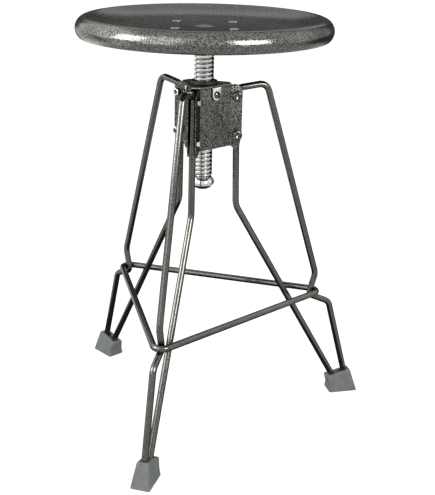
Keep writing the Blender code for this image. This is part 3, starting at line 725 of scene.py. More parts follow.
@dataclass
class CrossScrew:
    """Pan-head screw with a cross recess; its head's seat is at z = 0 and its axis is +Z.

    The fields after the four sizes are shares: side, edge and both depths of the head's height; foot, wall,
    reach and width of its radius; and tip of the shank's radius.
    """

    head_radius: float
    head_height: float
    shank_radius: float
    shank_length: float
    side: float = 0.35
    edge: float = 0.12
    end_depth: float = 0.4
    middle_depth: float = 0.7
    foot: float = 0.97
    wall: float = 0.06
    reach: float = 0.76
    width: float = 0.24
    tip: float = 0.33
    crown_rows: int = 40
    sides: int = 112

    def grid(self) -> np.ndarray:
        """Screw as a turned grid whose crown is lowered where the cross lies.

        The crown is an ellipse quarter over a short straight side. The cross is two bars with steep walls,
        deepest in the middle and shallower towards their ends.

        Returns:
            Grid of (rows, sides, 3) in millimetres.
        """
        radius, height, shank = self.head_radius, self.head_height, self.shank_radius
        side = self.side * height
        lift = np.radians(np.linspace(90.0, 0.0, self.crown_rows))
        crown = np.stack([radius * np.cos(lift), side + (height - side) * np.sin(lift)], axis=-1)
        crown[0, 0] = 0.0
        tip = self.tip * shank
        rest = [
            (radius, self.edge * height),
            (self.foot * radius, 0.0),
            (shank, 0.0),
            (shank, tip - self.shank_length),
            (shank - tip, -self.shank_length),
            (0.0, -self.shank_length),
        ]
        points = turned(np.concatenate([crown, rest]), self.sides)
        top = points[: len(crown)]
        wall, reach, width = self.wall * radius, self.reach * radius, self.width * radius
        across = np.abs(top[..., :2])
        narrow = 1.0 - smooth_step(across, width, width + wall)
        long = 1.0 - smooth_step(across, reach - wall, reach)
        cross = np.maximum(narrow[..., 0] * long[..., 1], narrow[..., 1] * long[..., 0])
        inwards = np.clip(1.0 - np.hypot(across[..., 0], across[..., 1]) / reach, 0.0, 1.0)
        top[..., 2] -= height * cross * (self.end_depth + self.middle_depth * inwards)
        return points


@dataclass
class HexagonNut:
    """Hexagon nut with a chamfered upper face; it stands on z = 0."""

    across_flats: float
    height: float
    bore_radius: float
    crown_share: float = 0.47
    chamfer: float = 30.0
    bore_break: float = 0.4
    foot_break: float = 0.15
    lip: float = 0.02
    sides: int = 72

    def grid(self) -> np.ndarray:
        """Nut as rings round its axis: the outer rings follow the hexagon.

        The outline is the flats' distance over the cosine to the nearest flat. A cone at the chamfer's angle
        cuts the upper corners, so each flat ends in a curve.

        Returns:
            Grid of (rows, sides, 3) in millimetres; the rows close.
        """
        angles = np.linspace(0.0, math.tau, self.sides, endpoint=False)
        flats = [(self.across_flats / 2, 60.0 * number + 30.0) for number in range(6)]
        outline = polygon_reach(flats, angles)
        crown = self.crown_share * self.across_flats
        fall = np.maximum(outline - crown, 0.0) * math.tan(math.radians(self.chamfer))
        rings = [
            (self.bore_radius, 0.0),
            (self.bore_radius, self.height - self.bore_break),
            (self.bore_radius + self.bore_break, self.height),
            (np.minimum(outline, crown), self.height),
            (outline, self.height - fall - self.lip),
            (outline, self.foot_break),
            (outline - self.foot_break, 0.0),
        ]
        return np.stack([ringed(radius, height, angles) for radius, height in rings])


def aimed(points: np.ndarray, seat: Triple, axis: Triple) -> np.ndarray:
    """Stand a fastener's grid on a seat, with its +Z along an axis.

    Args:
        points: grid in the fastener's own frame.
        seat: where its origin goes.
        axis: direction of its +Z.

    Returns:
        The grid in its corner's frame.
    """
    up = np.array(axis)
    stands = abs(up[2]) > math.cos(math.radians(25.0))
    side = np.array((1.0, 0.0, 0.0) if stands else (0.0, 0.0, 1.0))
    side -= up * (side @ up)
    side /= np.linalg.norm(side)
    return points @ np.stack([side, np.cross(up, side), up]) + np.array(seat)


# Seat


@dataclass
class Seat:
    """Pressed pan, its mounting plate and its four screws."""

    radius: float = 175.0
    sheet: float = 1.5
    dish_height: float = 574.4
    crest_height: float = 587.4
    boss_radius: float = 25.0
    boss_rise: float = 2.4
    rim_round: float = 15.7
    rim_blend: float = 22.0
    skirt_tuck: float = 40.0
    skirt_depth: float = 26.5
    boss_rows: int = 25
    dish_rows: int = 60
    rim_rows: int = 56
    skirt_rows: int = 4
    edge_rows: int = 9
    pan_sides: int = 288
    screw_spacing: float = 78.0
    square_turn: float = 17.4
    plate_heights: Pair = (568.6, 572.6)
    plate_half_width: float = 52.0
    plate_corner: float = 14.0
    plate_edge: float = 0.5
    plate_hole: float = 12.0
    hub_radius: float = 19.3
    hub_bottom: float = 559.6
    hub_top_gap: float = 0.4
    hub_break: float = 1.0
    bore_radius: float = 11.3
    bore_break: float = 0.6
    weld: float = 3.0
    weld_hollow: float = 0.9
    weld_sink: float = 0.1
    screw: CrossScrew = field(default_factory=lambda: CrossScrew(7.2, 1.5, 3.0, 9.0))

    @property
    def dish_edge(self) -> float:
        """Radius at which the dish meets the rim's arc."""
        return self.radius - self.rim_round * (1.0 + math.sin(math.radians(self.rim_blend)))

    def dish(self, radius: np.ndarray) -> np.ndarray:
        """Height of the dish: a power of the radius, plus a raised cosine for the boss in the middle.

        The power is the one whose slope at the dish's edge is the rim arc's own, so no crease shows.

        Args:
            radius: distances from the spindle.

        Returns:
            Heights of the upper face.
        """
        blend = math.radians(self.rim_blend)
        rise = self.crest_height - self.dish_height - self.rim_round * (1.0 - math.cos(blend))
        power = math.tan(blend) * self.dish_edge / rise
        share = np.minimum(1.0, radius / self.boss_radius)
        boss = self.boss_rise * (1.0 + np.cos(math.pi * share)) / 2
        return self.dish_height + boss + rise * (radius / self.dish_edge) ** power

    def pan(self) -> Shell:
        """Pan turned from its sheet's profile: dish, rolled rim, tucked skirt, rounded edge and inside.

        Returns:
            The closed surface.
        """
        boss = np.linspace(0.0, self.boss_radius - 1.0, self.boss_rows)
        slope = np.linspace(self.boss_radius + 1.0, self.dish_edge, self.dish_rows)[:-1]
        radii = np.concatenate([boss, slope])
        centre = (self.radius - self.rim_round, self.crest_height - self.rim_round)
        rim = arc(centre, self.rim_round, 90.0 + self.rim_blend, -self.skirt_tuck, self.rim_rows)
        fall = np.linspace(0.0, rim[-1, 1] - self.crest_height + self.skirt_depth, self.skirt_rows)[1:]
        skirt = rim[-1] - np.stack([fall * math.tan(math.radians(self.skirt_tuck)), fall], axis=-1)
        outer = np.concatenate([np.stack([radii, self.dish(radii)], axis=-1), rim, skirt])
        inner = offset(outer, self.sheet)
        inner[0, 0] = 0.0
        along = outer[-1] - outer[-2]
        facing_out = math.degrees(math.atan2(along[0], -along[1]))
        middle = tuple((outer[-1] + inner[-1]) / 2)
        edge = arc(middle, self.sheet / 2, -facing_out, -facing_out - 180.0, self.edge_rows)[1:-1]
        return Shell(placed(turned(np.concatenate([outer, edge, inner[::-1]]), self.pan_sides)))

    def plate(self) -> list[Shell]:
        """Square plate with round corners, and the hub that is welded below it.

        The plate's rings are its outline, a rounded loop, scaled: in a little at both faces for the edges,
        and down to a hole in the middle.

        Returns:
            Two closed surfaces.
        """
        low, high = self.plate_heights
        half, edge = self.plate_half_width, self.plate_edge
        outline = rounded_loop([(x * half, y * half, self.plate_corner) for x, y in SQUARE])
        upper = ((self.plate_hole, high), (half - edge, high), (half, high - edge))
        lower = ((half, low + edge), (half - edge, low), (self.plate_hole, low))
        rings = [
            np.column_stack([outline * width / half, np.full(len(outline), height)])
            for width, height in upper + lower
        ]
        plate = Shell(placed(np.stack(rings), self.square_turn), rows_close=True)
        bore, hub, bottom = self.bore_radius, self.hub_radius, self.hub_bottom
        profile = np.array(
            [
                (bore, high - self.hub_top_gap),
                (bore, bottom + self.bore_break),
                (bore + self.bore_break, bottom),
                (hub - self.hub_break, bottom),
                (hub, bottom + self.hub_break),
                (hub, low - self.weld),
                (hub + self.weld_hollow, low - self.weld_hollow),
                (hub + self.weld, low + self.weld_sink),
                (hub + self.weld, high - self.hub_top_gap),
            ]
        )
        return [plate, Shell(placed(turned(profile)), rows_close=True)]

    def build(self, shop: Workshop) -> None:
        """Make and dress the seat's pieces.

        Args:
            shop: the workshop that makes them.
        """
        shop.add("seat_pan", "pressed", [self.pan()], Slot.ENAMEL, Body.SEAT)
        shop.add("seat_mount_plate", "welded", self.plate(), Slot.BLACK, Body.SEAT)
        half = self.screw_spacing / 2
        reach = math.hypot(half, half) + self.screw.head_radius
        seat = float(self.dish(np.array(reach))) + FIT_GAP
        for number, (x, y) in enumerate(SQUARE, 1):
            points = aimed(self.screw.grid(), (x * half, y * half, seat), (0.0, 0.0, 1.0))
            shell = Shell(placed(points, self.square_turn))
            # The seat screws take a darker zinc copy: painted shade
            shop.add(f"seat_screw_{number}", "cross", [shell], Slot.ZINC, Body.SEAT, Coat.THIN_AND_SHADED)


# Screw lift


@dataclass
class ScrewLift:
    """Threaded spindle, its stop ball and the sleeve nut."""

    crest_radius: float = 13.5
    root_radius: float = 10.8
    pitch: float = 6.0
    # Shares of the pitch between which the thread's two flanks lie
    rising_flank: Pair = (0.04, 0.3)
    falling_flank: Pair = (0.74, 1.0)
    thread_start: float = 364.34
    thread_end: float = 556.3
    thread_crease: float = 80.0
    rows_in_pitch: int = 24
    spindle_sides: int = 72
    spindle_ends: Pair = (355.24, 572.1)
    ball_radius: float = 16.7
    ball_half_height: float = 10.9
    ball_height: float = 355.5
    ball_mouth: float = 11.3
    ball_lip: float = 0.3
    ball_socket: float = 8.6
    ball_rows: int = 60
    ball_sides: int = 128
    nut_bore: float = 14.0
    nut_radius: float = 16.5
    nut_foot: float = 412.0
    nut_foot_break: float = 0.6
    nut_mouth_break: float = 0.8
    collar_radius: float = 18.7
    collar_heights: Pair = (496.6, 501.1)
    collar_round: float = 1.2
    collar_bulge: float = 0.35
    collar_break: float = 0.3

    def spindle(self) -> Shell:
        """Spindle as a sheared grid, whose rows climb one pitch in a turn and so follow the thread.

        A point's height is its row's height plus the pitch times the share of the turn, held between the
        spindle's ends. Its radius is the root's, plus the depth times the tooth at that row: flat root and
        crest with a smooth step for each flank. The tooth fades out over half a pitch at both ends of the
        thread.

        Returns:
            The closed surface.
        """
        bottom, top = self.spindle_ends
        start, end, pitch = self.thread_start, self.thread_end, self.pitch
        shares = np.linspace(0.0, 1.0, self.rows_in_pitch, endpoint=False)
        depths = smooth_step(shares, *self.rising_flank) - smooth_step(shares, *self.falling_flank)
        turns = np.arange(math.floor((bottom - start) / pitch) - 1, math.ceil((top - start) / pitch) + 1)
        rows = (turns[:, None] + shares[None, :]).reshape(-1)
        tooth = np.tile(depths, len(turns))
        sides = self.spindle_sides
        step = np.arange(sides + 1)
        angles = math.tau * (step % sides) / sides
        height = start + pitch * (rows[:, None] + step[None, :] / sides)
        held = np.clip(height, bottom, top)
        fade = smooth_step(held, start, start + pitch / 2) * (1.0 - smooth_step(held, end - pitch / 2, end))
        radius = self.root_radius + (self.crest_radius - self.root_radius) * tooth[:, None] * fade
        wall = ringed(radius, held, angles)
        foot = np.zeros_like(wall[:1]) + (0.0, 0.0, bottom)
        head = np.zeros_like(wall[:1]) + (0.0, 0.0, top)
        return Shell(placed(np.concatenate([foot, wall, head])))

    def ball(self) -> Shell:
        """Flattened ball: an ellipse from its mouth to its foot, with a small flat lip and a blind socket.

        Returns:
            The closed surface.
        """
        mouth = math.degrees(math.acos((self.ball_mouth + self.ball_lip) / self.ball_radius))
        ellipse = arc((0.0, 0.0), 1.0, mouth, -90.0, self.ball_rows)
        outside = ellipse * (self.ball_radius, self.ball_half_height) + (0.0, self.ball_height)
        outside[-1, 0] = 0.0
        top = outside[0, 1]
        floor = top - self.ball_socket
        socket = np.array([(0.0, floor), (self.ball_mouth, floor), (self.ball_mouth, top)])
        return Shell(placed(turned(np.concatenate([socket, outside]), self.ball_sides)))

    def nut(self) -> Shell:
        """Sleeve with a rounded collar, turned from its profile.

        Returns:
            The closed surface.
        """
        seat, top = self.collar_heights
        bore, sleeve, collar = self.nut_bore, self.nut_radius, self.collar_radius
        foot, foot_break = self.nut_foot, self.nut_foot_break
        profile = np.array(
            [
                (bore, foot + foot_break),
                (bore, top - self.nut_mouth_break),
                (bore + self.nut_mouth_break, top),
                (collar - self.collar_round, top),
                (collar - self.collar_bulge, top - self.collar_bulge),
                (collar, top - self.collar_round),
                (collar, seat + self.collar_break),
                (collar - self.collar_break, seat),
                (sleeve, seat),
                (sleeve, foot + foot_break),
                (sleeve - foot_break, foot),
                (bore + foot_break, foot),
            ]
        )
        return Shell(placed(turned(profile)), rows_close=True)

    def build(self, shop: Workshop) -> None:
        """Make and dress the screw lift's pieces.

        Args:
            shop: the workshop that makes them.
        """
        thread = [self.spindle()]
        shop.add("spindle", "threaded", thread, Slot.CHROME, Body.SEAT, crease=self.thread_crease)
        # The ball takes the chrome with near-black painted shade in its hollows
        shop.add("stop_ball", "turned", [self.ball()], Slot.CHROME, Body.STOP, Coat.HEAVY_AND_SHADED)
        shop.add("spindle_nut", "turned", [self.nut()], Slot.BLACK, Body.FRAME)


# Bracket


def inner_run(height: float) -> float:
    """Distance of a leg's inner run from the spindle: it leans out from its top to its bend."""
    share = (INNER_RUN_TOP[1] - height) / (INNER_RUN_TOP[1] - INNER_RUN_BEND[1])
    return INNER_RUN_TOP[0] + (INNER_RUN_BEND[0] - INNER_RUN_TOP[0]) * share


@dataclass
class Bracket:
    """Three bent plates, the top plate with its tabs, and the screws and nuts that hold them."""

    bottom: float = 408.0
    top: float = 493.0
    plate_distance: float = 23.7
    sheet: float = 2.0
    fold_round: float = 4.0
    flange_bend: float = 30.0
    flange_offset: float = 5.8
    flange_start: float = 38.426
    flange_edge: float = 54.026
    top_round: float = 8.0
    ear_drop: float = 5.0
    ear_taper: float = 3.5
    ear_taper_height: float = 14.0
    edge_round: float = 0.45
    edge_hold: float = 0.05
    face_rows: int = 12
    fold_rows: int = 8
    flange_rows: int = 9
    corner_rows: int = 12
    corner_sweep: Pair = (8.0, 86.0)
    edge_rows: int = 5
    top_plate_heights: Pair = (493.3, 496.3)
    top_plate_face: float = 24.7
    top_plate_corner: float = 38.03
    top_plate_bore: float = 16.8
    top_plate_edge: float = 0.5
    top_plate_bulge: float = 0.15
    top_plate_sides: int = 240
    tab_middle: float = 26.0
    tab_half_width: float = 7.6
    tab_fold: float = 2.5
    tab_root: float = 7.5
    tab_end: float = 476.3
    tab_edge: float = 0.35
    tab_fold_rows: int = 10
    tab_end_rows: int = 16
    tab_end_sweep: float = 89.0
    tab_screw_height: float = 483.8
    clamp_face: float = 6.8
    clamp_heights: Pair = (422.6, 478.4)
    clamp_screw: CrossScrew = field(default_factory=lambda: CrossScrew(7.0, 3.6, 2.5, 19.8))
    clamp_nut: HexagonNut = field(default_factory=lambda: HexagonNut(9.2, 4.6, 2.6))
    tab_screw: CrossScrew = field(default_factory=lambda: CrossScrew(4.9, 2.8, 2.0, 8.8))

    def flange_ends(self, radius: np.ndarray) -> tuple[np.ndarray, np.ndarray]:
        """Lower and upper end of the plate at a distance from the spindle.

        The ear drops at 45 degrees below the face, runs level and climbs steeply at the edge. The upper
        corner is a quarter circle.

        Args:
            radius: distances along the flange.

        Returns:
            Lower and upper heights.
        """
        drop = np.clip(radius - self.flange_start, 0.0, self.ear_drop)
        into_taper = np.maximum(0.0, radius - self.flange_edge + self.ear_taper) / self.ear_taper
        climb = (self.ear_drop + self.ear_taper_height) * into_taper
        into_round = np.maximum(0.0, radius - self.flange_edge + self.top_round)
        fall = self.top_round - np.sqrt(np.maximum(0.0, self.top_round**2 - into_round**2))
        return self.bottom - drop + climb, self.top - fall

    def plate(self) -> np.ndarray:
        """Bent plate as a sheet section carried along its plan, from one flange's edge to the other.

        The plan is straight across the face, an arc at each fold and straight along each flange. At both
        ends the sheet thins over a quarter circle and closes. One half is worked out and mirrored.

        Returns:
            Grid in the plate's own frame, +X out of its face.
        """
        bend = math.radians(self.flange_bend)
        along = np.array((math.sin(bend), math.cos(bend)))
        outward = np.array((along[1], -along[0]))
        flange_y = self.flange_start * along[1] + self.flange_offset * outward[1]
        centre = (self.plate_distance + self.fold_round, flange_y - self.fold_round * math.sin(bend))
        turns = np.linspace(0.0, bend, self.fold_rows)
        fold_normals = np.stack([np.cos(turns), -np.sin(turns)], axis=-1)
        fold = np.array(centre) - self.fold_round * fold_normals
        face_start = np.array((self.plate_distance, 0.0))
        face = face_start + np.linspace(0.0, 1.0, self.face_rows)[1:-1, None] * (fold[0] - face_start)
        rounding = np.radians(np.linspace(0.0, 90.0, self.edge_rows))
        straight = np.linspace(self.flange_start, self.flange_edge - self.top_round, self.flange_rows)[1:]
        corner_turns = np.radians(np.linspace(*self.corner_sweep, self.corner_rows))
        corner = self.flange_edge - self.top_round * (1.0 - np.sin(corner_turns))
        edge = self.flange_edge - self.edge_round * (1.0 - np.sin(rounding))
        radii = np.concatenate([straight, corner, edge, edge[-1:]])
        reach = np.concatenate([np.full(len(face) + len(fold), self.flange_start), radii])
        flange = radii[:, None] * along + self.flange_offset * outward
        plan = np.concatenate([face, fold, flange])
        normals = np.concatenate(
            [np.tile((1.0, 0.0), (len(face), 1)), fold_normals, np.tile(outward, (len(flange), 1))]
        )
        half = np.full(len(plan), self.sheet / 2)
        half[-len(edge) - 1 : -1] -= self.edge_round * (1.0 - np.cos(rounding))
        half[-1] = 0.0
        low, high = self.flange_ends(np.minimum(reach, self.flange_edge - self.edge_hold))
        mirror = np.array((1.0, -1.0))
        plan = np.concatenate([plan[::-1] * mirror, plan])
        normals = np.concatenate([normals[::-1] * mirror, normals])
        both = [np.concatenate([values[::-1], values]) for values in (half, low, high)]
        section = sheet_section(*both, self.edge_round)
        flat = plan[:, None, :] + section[..., :1] * normals[:, None, :]
        return np.concatenate([flat, section[..., 1:]], axis=-1)

    def top_plate(self) -> list[Shell]:
        """Six-sided plate with a bore, and three tabs folded down over the bent plates.

        The plate's rings follow the polygon, drawn in at the edges.

        Returns:
            Four closed surfaces; the tabs take the second finish.
        """
        low, high = self.top_plate_heights
        edge, bulge = self.top_plate_edge, self.top_plate_bulge
        angles = np.linspace(0.0, math.tau, self.top_plate_sides, endpoint=False)
        faces = [(self.top_plate_face, angle) for angle in PLATE_ANGLES]
        faces += [(self.top_plate_corner, angle) for angle in CORNER_ANGLES]
        upper = ((edge, high), (bulge, high - bulge), (0.0, high - edge))
        lower = ((0.0, low + edge), (bulge, low + bulge), (edge, low))
        rings = [(polygon_reach(faces, angles, inset), height) for inset, height in upper + lower]
        rings = [(self.top_plate_bore, high), *rings, (self.top_plate_bore, low)]
        grid = np.stack([ringed(radius, height, angles) for radius, height in rings])
        tab = self.tab()
        plate = Shell(placed(grid), rows_close=True)
        return [plate] + [Shell(placed(tab, angle), finish=1) for angle in PLATE_ANGLES]

    def tab(self) -> np.ndarray:
        """One tab: out of the plate's edge, round the fold and down to its half-round end.

        A tab is a sheet section carried over a quarter-circle fold and down. It starts at its root with no
        thickness, and its width closes in a half circle.

        Returns:
            Grid in the plate's own frame, +X out of its face.
        """
        middle, width = sum(self.top_plate_heights) / 2, self.tab_half_width
        centre = (self.tab_middle - self.tab_fold, middle - self.tab_fold)
        fold = arc(centre, self.tab_fold, 90.0, 0.0, self.tab_fold_rows)
        turn = np.radians(np.linspace(0.0, self.tab_end_sweep, self.tab_end_rows))
        drop = self.tab_end + width * (1.0 - np.sin(turn))
        root = [(self.tab_middle - self.tab_root, middle)] * 2
        down = np.stack([np.full_like(drop, self.tab_middle), drop], axis=-1)
        path = np.concatenate([root, fold, down, [(self.tab_middle, self.tab_end)]])
        fold_lean = np.linspace(90.0, 0.0, self.tab_fold_rows)
        lean = np.radians(np.concatenate([[90.0, 90.0], fold_lean, np.zeros(len(down) + 1)]))
        normals = np.stack([np.cos(lean), np.sin(lean)], axis=-1)
        half_width = np.concatenate([np.full(len(root) + len(fold), width), width * np.cos(turn), [0.0]])
        half = np.full(len(path), self.sheet / 2)
        half[0] = 0.0
        section = sheet_section(half, -half_width, half_width, self.tab_edge)
        flat = path[:, None, :] + section[..., :1] * normals[:, None, :]
        across = np.clip(section[..., 1], -half_width[:, None], half_width[:, None])
        return np.stack([flat[..., 0], across, flat[..., 1]], axis=-1)

    def build(self, shop: Workshop) -> None:
        """Make and dress the bracket's pieces.

        Args:
            shop: the workshop that makes them.
        """
        plate = self.plate()
        seat = (self.tab_middle + self.sheet / 2 + FIT_GAP, 0.0, self.tab_screw_height)
        tab_screw = aimed(self.tab_screw.grid(), seat, (1.0, 0.0, 0.0))
        for number, angle in enumerate(PLATE_ANGLES, 1):
            # Bracket plates take the enamel whose painted shade reaches further; the tab screws a darker zinc
            # copy, as painted shade
            shell = Shell(placed(plate, angle))
            shop.add(f"bracket_plate_{number}", "bent", [shell], Slot.ENAMEL, Body.FRAME, Coat.HEAVY_AND_SHADED)
            shell = Shell(placed(tab_screw, angle))
            shop.add(f"tab_screw_{number}", "cross", [shell], Slot.ZINC, Body.FRAME, Coat.HEAVY_AND_SHADED)
        # The top plate takes a darker zinc copy as painted shade, its tabs the bright zinc
        shop.add("top_plate", "tabbed", self.top_plate(), Slot.ZINC, Body.FRAME, Coat.HEAVY_AND_SHADED, Coat.FULL)
        face = self.clamp_face + FIT_GAP
        for number, angle in enumerate(CORNER_ANGLES, 1):
            for level, height in zip(("lower", "upper"), self.clamp_heights):
                reach = inner_run(height)
                points = aimed(self.clamp_screw.grid(), (reach, -face, height), (0.0, -1.0, 0.0))
                shell = Shell(placed(points, angle))
                node = f"clamp_screw_{level}_{number}"
                # Clamp screws take a darker zinc copy: painted shade
                shop.add(node, "cross", [shell], Slot.ZINC, Body.FRAME, Coat.HEAVY_AND_SHADED)
                points = aimed(self.clamp_nut.grid(), (reach, face, height), (0.0, 1.0, 0.0))
                shell = Shell(placed(points, angle), rows_close=True)
                node = f"clamp_nut_{level}_{number}"
                shop.add(node, "hexagon", [shell], Slot.ZINC, Body.FRAME)


# Legs, ring and feet


@dataclass
class Stand:
    """Three looped legs, the rod triangle that ties them and their rubber feet."""

    rod_radius: float = 4.75
    rod_step: float = 4.0
    leg_corners: tuple[Triple, ...] = (
        (*INNER_RUN_TOP, 10.0),
        (90.426, 494.6, 13.0),
        (178.7, 201.5, 25.0),
        (169.764, 167.755, 9.3),
        (202.8, 153.4, 15.0),
        (240.9, 12.0, 8.0),
        (224.3, 12.0, 8.0),
        (*INNER_RUN_BEND, 30.0),
    )
    ring_corner: float = 192.8
    ring_height: float = 173.1
    ring_bend: float = 12.0
    toe: Pair = (255.3, 0.0)
    toe_top: Pair = (243.8, 35.3)
    heel: Pair = (209.8, 0.0)
    heel_waist: Pair = (210.6, 10.0)
    heel_top: Pair = (206.0, 24.8)
    sole_half_width: float = 14.1
    top_half_width: float = 8.4
    mean_half_length: float = 22.0
    mean_half_width: float = 11.0
    foot_edge: float = 1.8
    # Radius of the sole's edge as a share of the top edge's
    sole_edge: float = 0.4
    foot_corner: float = 2.4
    foot_crease: float = 40.0
    corner_rows: int = 8
    side_rows: int = 32
    top_rows: int = 44
    wall_rows: int = 22
    sole_rows: int = 7
    slot_half_width: float = 3.5
    slot_half_length: float = 8.3
    slot_half_wall: float = 0.5
    slot_depth: float = 6.0

    def rod(self, corners: list[Triple]) -> np.ndarray:
        """Round rod swept along a closed loop with bent corners, in the loop's plane."""
        return swept_loop(rounded_loop(corners, self.rod_step), self.rod_radius)

    def ring(self) -> np.ndarray:
        """Foot ring: a rod bent to a triangle and laid level.

        Returns:
            Grid in the spindle's frame.
        """
        reach, turns = self.ring_corner, np.radians(CORNER_ANGLES)
        grid = self.rod([(reach * math.cos(turn), reach * math.sin(turn), self.ring_bend) for turn in turns])
        return np.stack([grid[..., 0], grid[..., 2], grid[..., 1] + self.ring_height], axis=-1)

    def foot_outline(self) -> np.ndarray:
        """Rounded rectangle from -1 to 1 both ways: u from heel to toe, v across the foot.

        Each corner is a quarter ellipse, whose half axes are the corner's radius as shares of the foot's
        half length and half width. Evenly spaced points run along the straight sides.

        Returns:
            Array of (n, 2) points, in order round the foot.
        """
        long = 2.0 * self.foot_corner / (self.toe[0] - self.heel[0])
        wide = self.foot_corner / self.sole_half_width
        quarter = arc((0.0, 0.0), 1.0, 0.0, 90.0, self.corner_rows)
        corner = 1.0 - (1.0 - quarter) * (long, wide)
        even = np.linspace(1.0, -1.0, self.side_rows)[1:-1]
        side = np.stack([even * (1.0 - long), np.ones_like(even)], axis=-1)
        end = np.stack([-np.ones_like(even), even * (1.0 - wide)], axis=-1)
        half = np.concatenate([corner, side, corner[::-1] * (-1.0, 1.0), end])
        return np.concatenate([half, -half])

    def foot(self) -> np.ndarray:
        """Rubber foot as rings from the middle of its top, over the edge, down the sides to the sole.

        A ring is the foot's outline, scaled. A point lies between the heel's and the toe's line at its share
        of the height, and the width narrows upwards. The rings draw in over a quarter circle at the top's
        edge and a smaller one at the sole's. The slot lowers the top between the two rods.

        Returns:
            Grid in the corner's frame.
        """
        u, v = self.foot_outline().T
        height, edge = self.toe_top[1], self.foot_edge
        quarter = np.radians(np.linspace(90.0, 0.0, self.corner_rows))
        inset = edge * (1.0 - np.cos(quarter))
        lowered = edge * (1.0 - np.sin(quarter)) / height
        top = np.linspace(0.0, 1.0, self.top_rows)[:-1]
        wall = np.linspace(1.0, 0.0, self.wall_rows)[2:-1]
        sole = np.linspace(1.0, 0.0, self.sole_rows)[1:]
        # Share of the height, how far drawn in and scale: rings on top, edge, wall, lower edge and sole
        bands = (
            (np.ones_like(top), np.full_like(top, edge), top),
            (1.0 - lowered, inset, np.ones_like(inset)),
            (wall, np.zeros_like(wall), np.ones_like(wall)),
            (self.sole_edge * lowered[::-1], self.sole_edge * inset[::-1], np.ones_like(inset)),
            (np.zeros_like(sole), np.full_like(sole, self.sole_edge * edge), sole),
        )
        shares, drawn_in, scale = (np.concatenate(values) for values in zip(*bands))
        along = (scale * (1.0 - drawn_in / self.mean_half_length))[:, None] * u
        across = (scale * (1.0 - drawn_in / self.mean_half_width))[:, None] * v
        heel_line = np.array([self.heel, self.heel_waist, self.heel_top])
        knots = heel_line[:, 1] / heel_line[-1, 1]
        heel_r = np.interp(shares, knots, heel_line[:, 0])[:, None]
        heel_z = (shares * heel_line[-1, 1])[:, None]
        toe_r = (self.toe[0] + shares * (self.toe_top[0] - self.toe[0]))[:, None]
        toe_z = (shares * height)[:, None]
        r = heel_r + (toe_r - heel_r) * (1.0 + along) / 2
        z = heel_z + (toe_z - heel_z) * (1.0 + along) / 2
        y = across * (self.sole_half_width - (self.sole_half_width - self.top_half_width) * z / height)
        middle = (self.toe_top[0] + self.heel_top[0]) / 2
        slot = (np.arange(len(shares)) < len(top))[:, None]
        for away, reach in ((r - middle, self.slot_half_length), (y, self.slot_half_width)):
            wall_ends = (reach - self.slot_half_wall, reach + self.slot_half_wall)
            slot = slot * (1.0 - smooth_step(np.abs(away), *wall_ends))
        return np.stack([r, y, z - self.slot_depth * slot], axis=-1)

    def build(self, shop: Workshop) -> None:
        """Make and dress the stand's pieces.

        Args:
            shop: the workshop that makes them.
        """
        leg, foot = self.rod(list(self.leg_corners)), self.foot()
        for number, angle in enumerate(CORNER_ANGLES, 1):
            shell = Shell(placed(leg, angle), rows_close=True)
            shop.add(f"leg_{number}", "rod", [shell], Slot.ENAMEL, Body.FRAME, Coat.THIN_AND_SHADED)
            shell = Shell(placed(foot, angle))
            node = f"rubber_foot_{number}"
            shop.add(node, "moulded", [shell], Slot.RUBBER, Body.FRAME, crease=self.foot_crease)
        shell = Shell(placed(self.ring()), rows_close=True)
        shop.add("foot_ring", "rod", [shell], Slot.ENAMEL, Body.FRAME, Coat.THIN_AND_SHADED)


# Studio


def facing(side: np.ndarray, up: np.ndarray, back: np.ndarray, place: np.ndarray) -> Matrix:
    """Matrix of a camera or light.

    Args:
        side: its axis to the right.
        up: its axis upwards.
        back: its axis to the back.
        place: where it stands.

    Returns:
        The matrix.
    """
    matrix = np.eye(4)
    matrix[:3] = np.column_stack([side, up, back, place])
    return Matrix(matrix.tolist())


@dataclass(frozen=True)
class Softbox:
    """A large soft light, placed by its direction from the stool; its azimuth counts from the front."""

    name: str
    azimuth: float
    elevation: float
    distance: float
    width: float
    height: float
    power: float

    def build(self, target: np.ndarray, front: float) -> None:
        """Hang the light so that it faces the target.

        Args:
            target: the point that it lights.
            front: azimuth of the studio's front, in degrees.
        """
        azimuth, elevation = math.radians(front + self.azimuth), math.radians(self.elevation)
        level = math.cos(elevation)
        back = np.array((math.sin(azimuth) * level, -math.cos(azimuth) * level, math.sin(elevation)))
        data = bpy.data.lights.new(self.name, "AREA")
        data.shape = "RECTANGLE"
        data.size = self.width
        data.size_y = self.height
        data.energy = self.power
        light = bpy.data.objects.new(self.name, data)
        side = np.array((math.cos(azimuth), math.sin(azimuth), 0.0))
        light.matrix_world = facing(side, np.cross(back, side), back, target + back * self.distance)
        light.visible_camera = False
        bpy.context.scene.collection.objects.link(light)


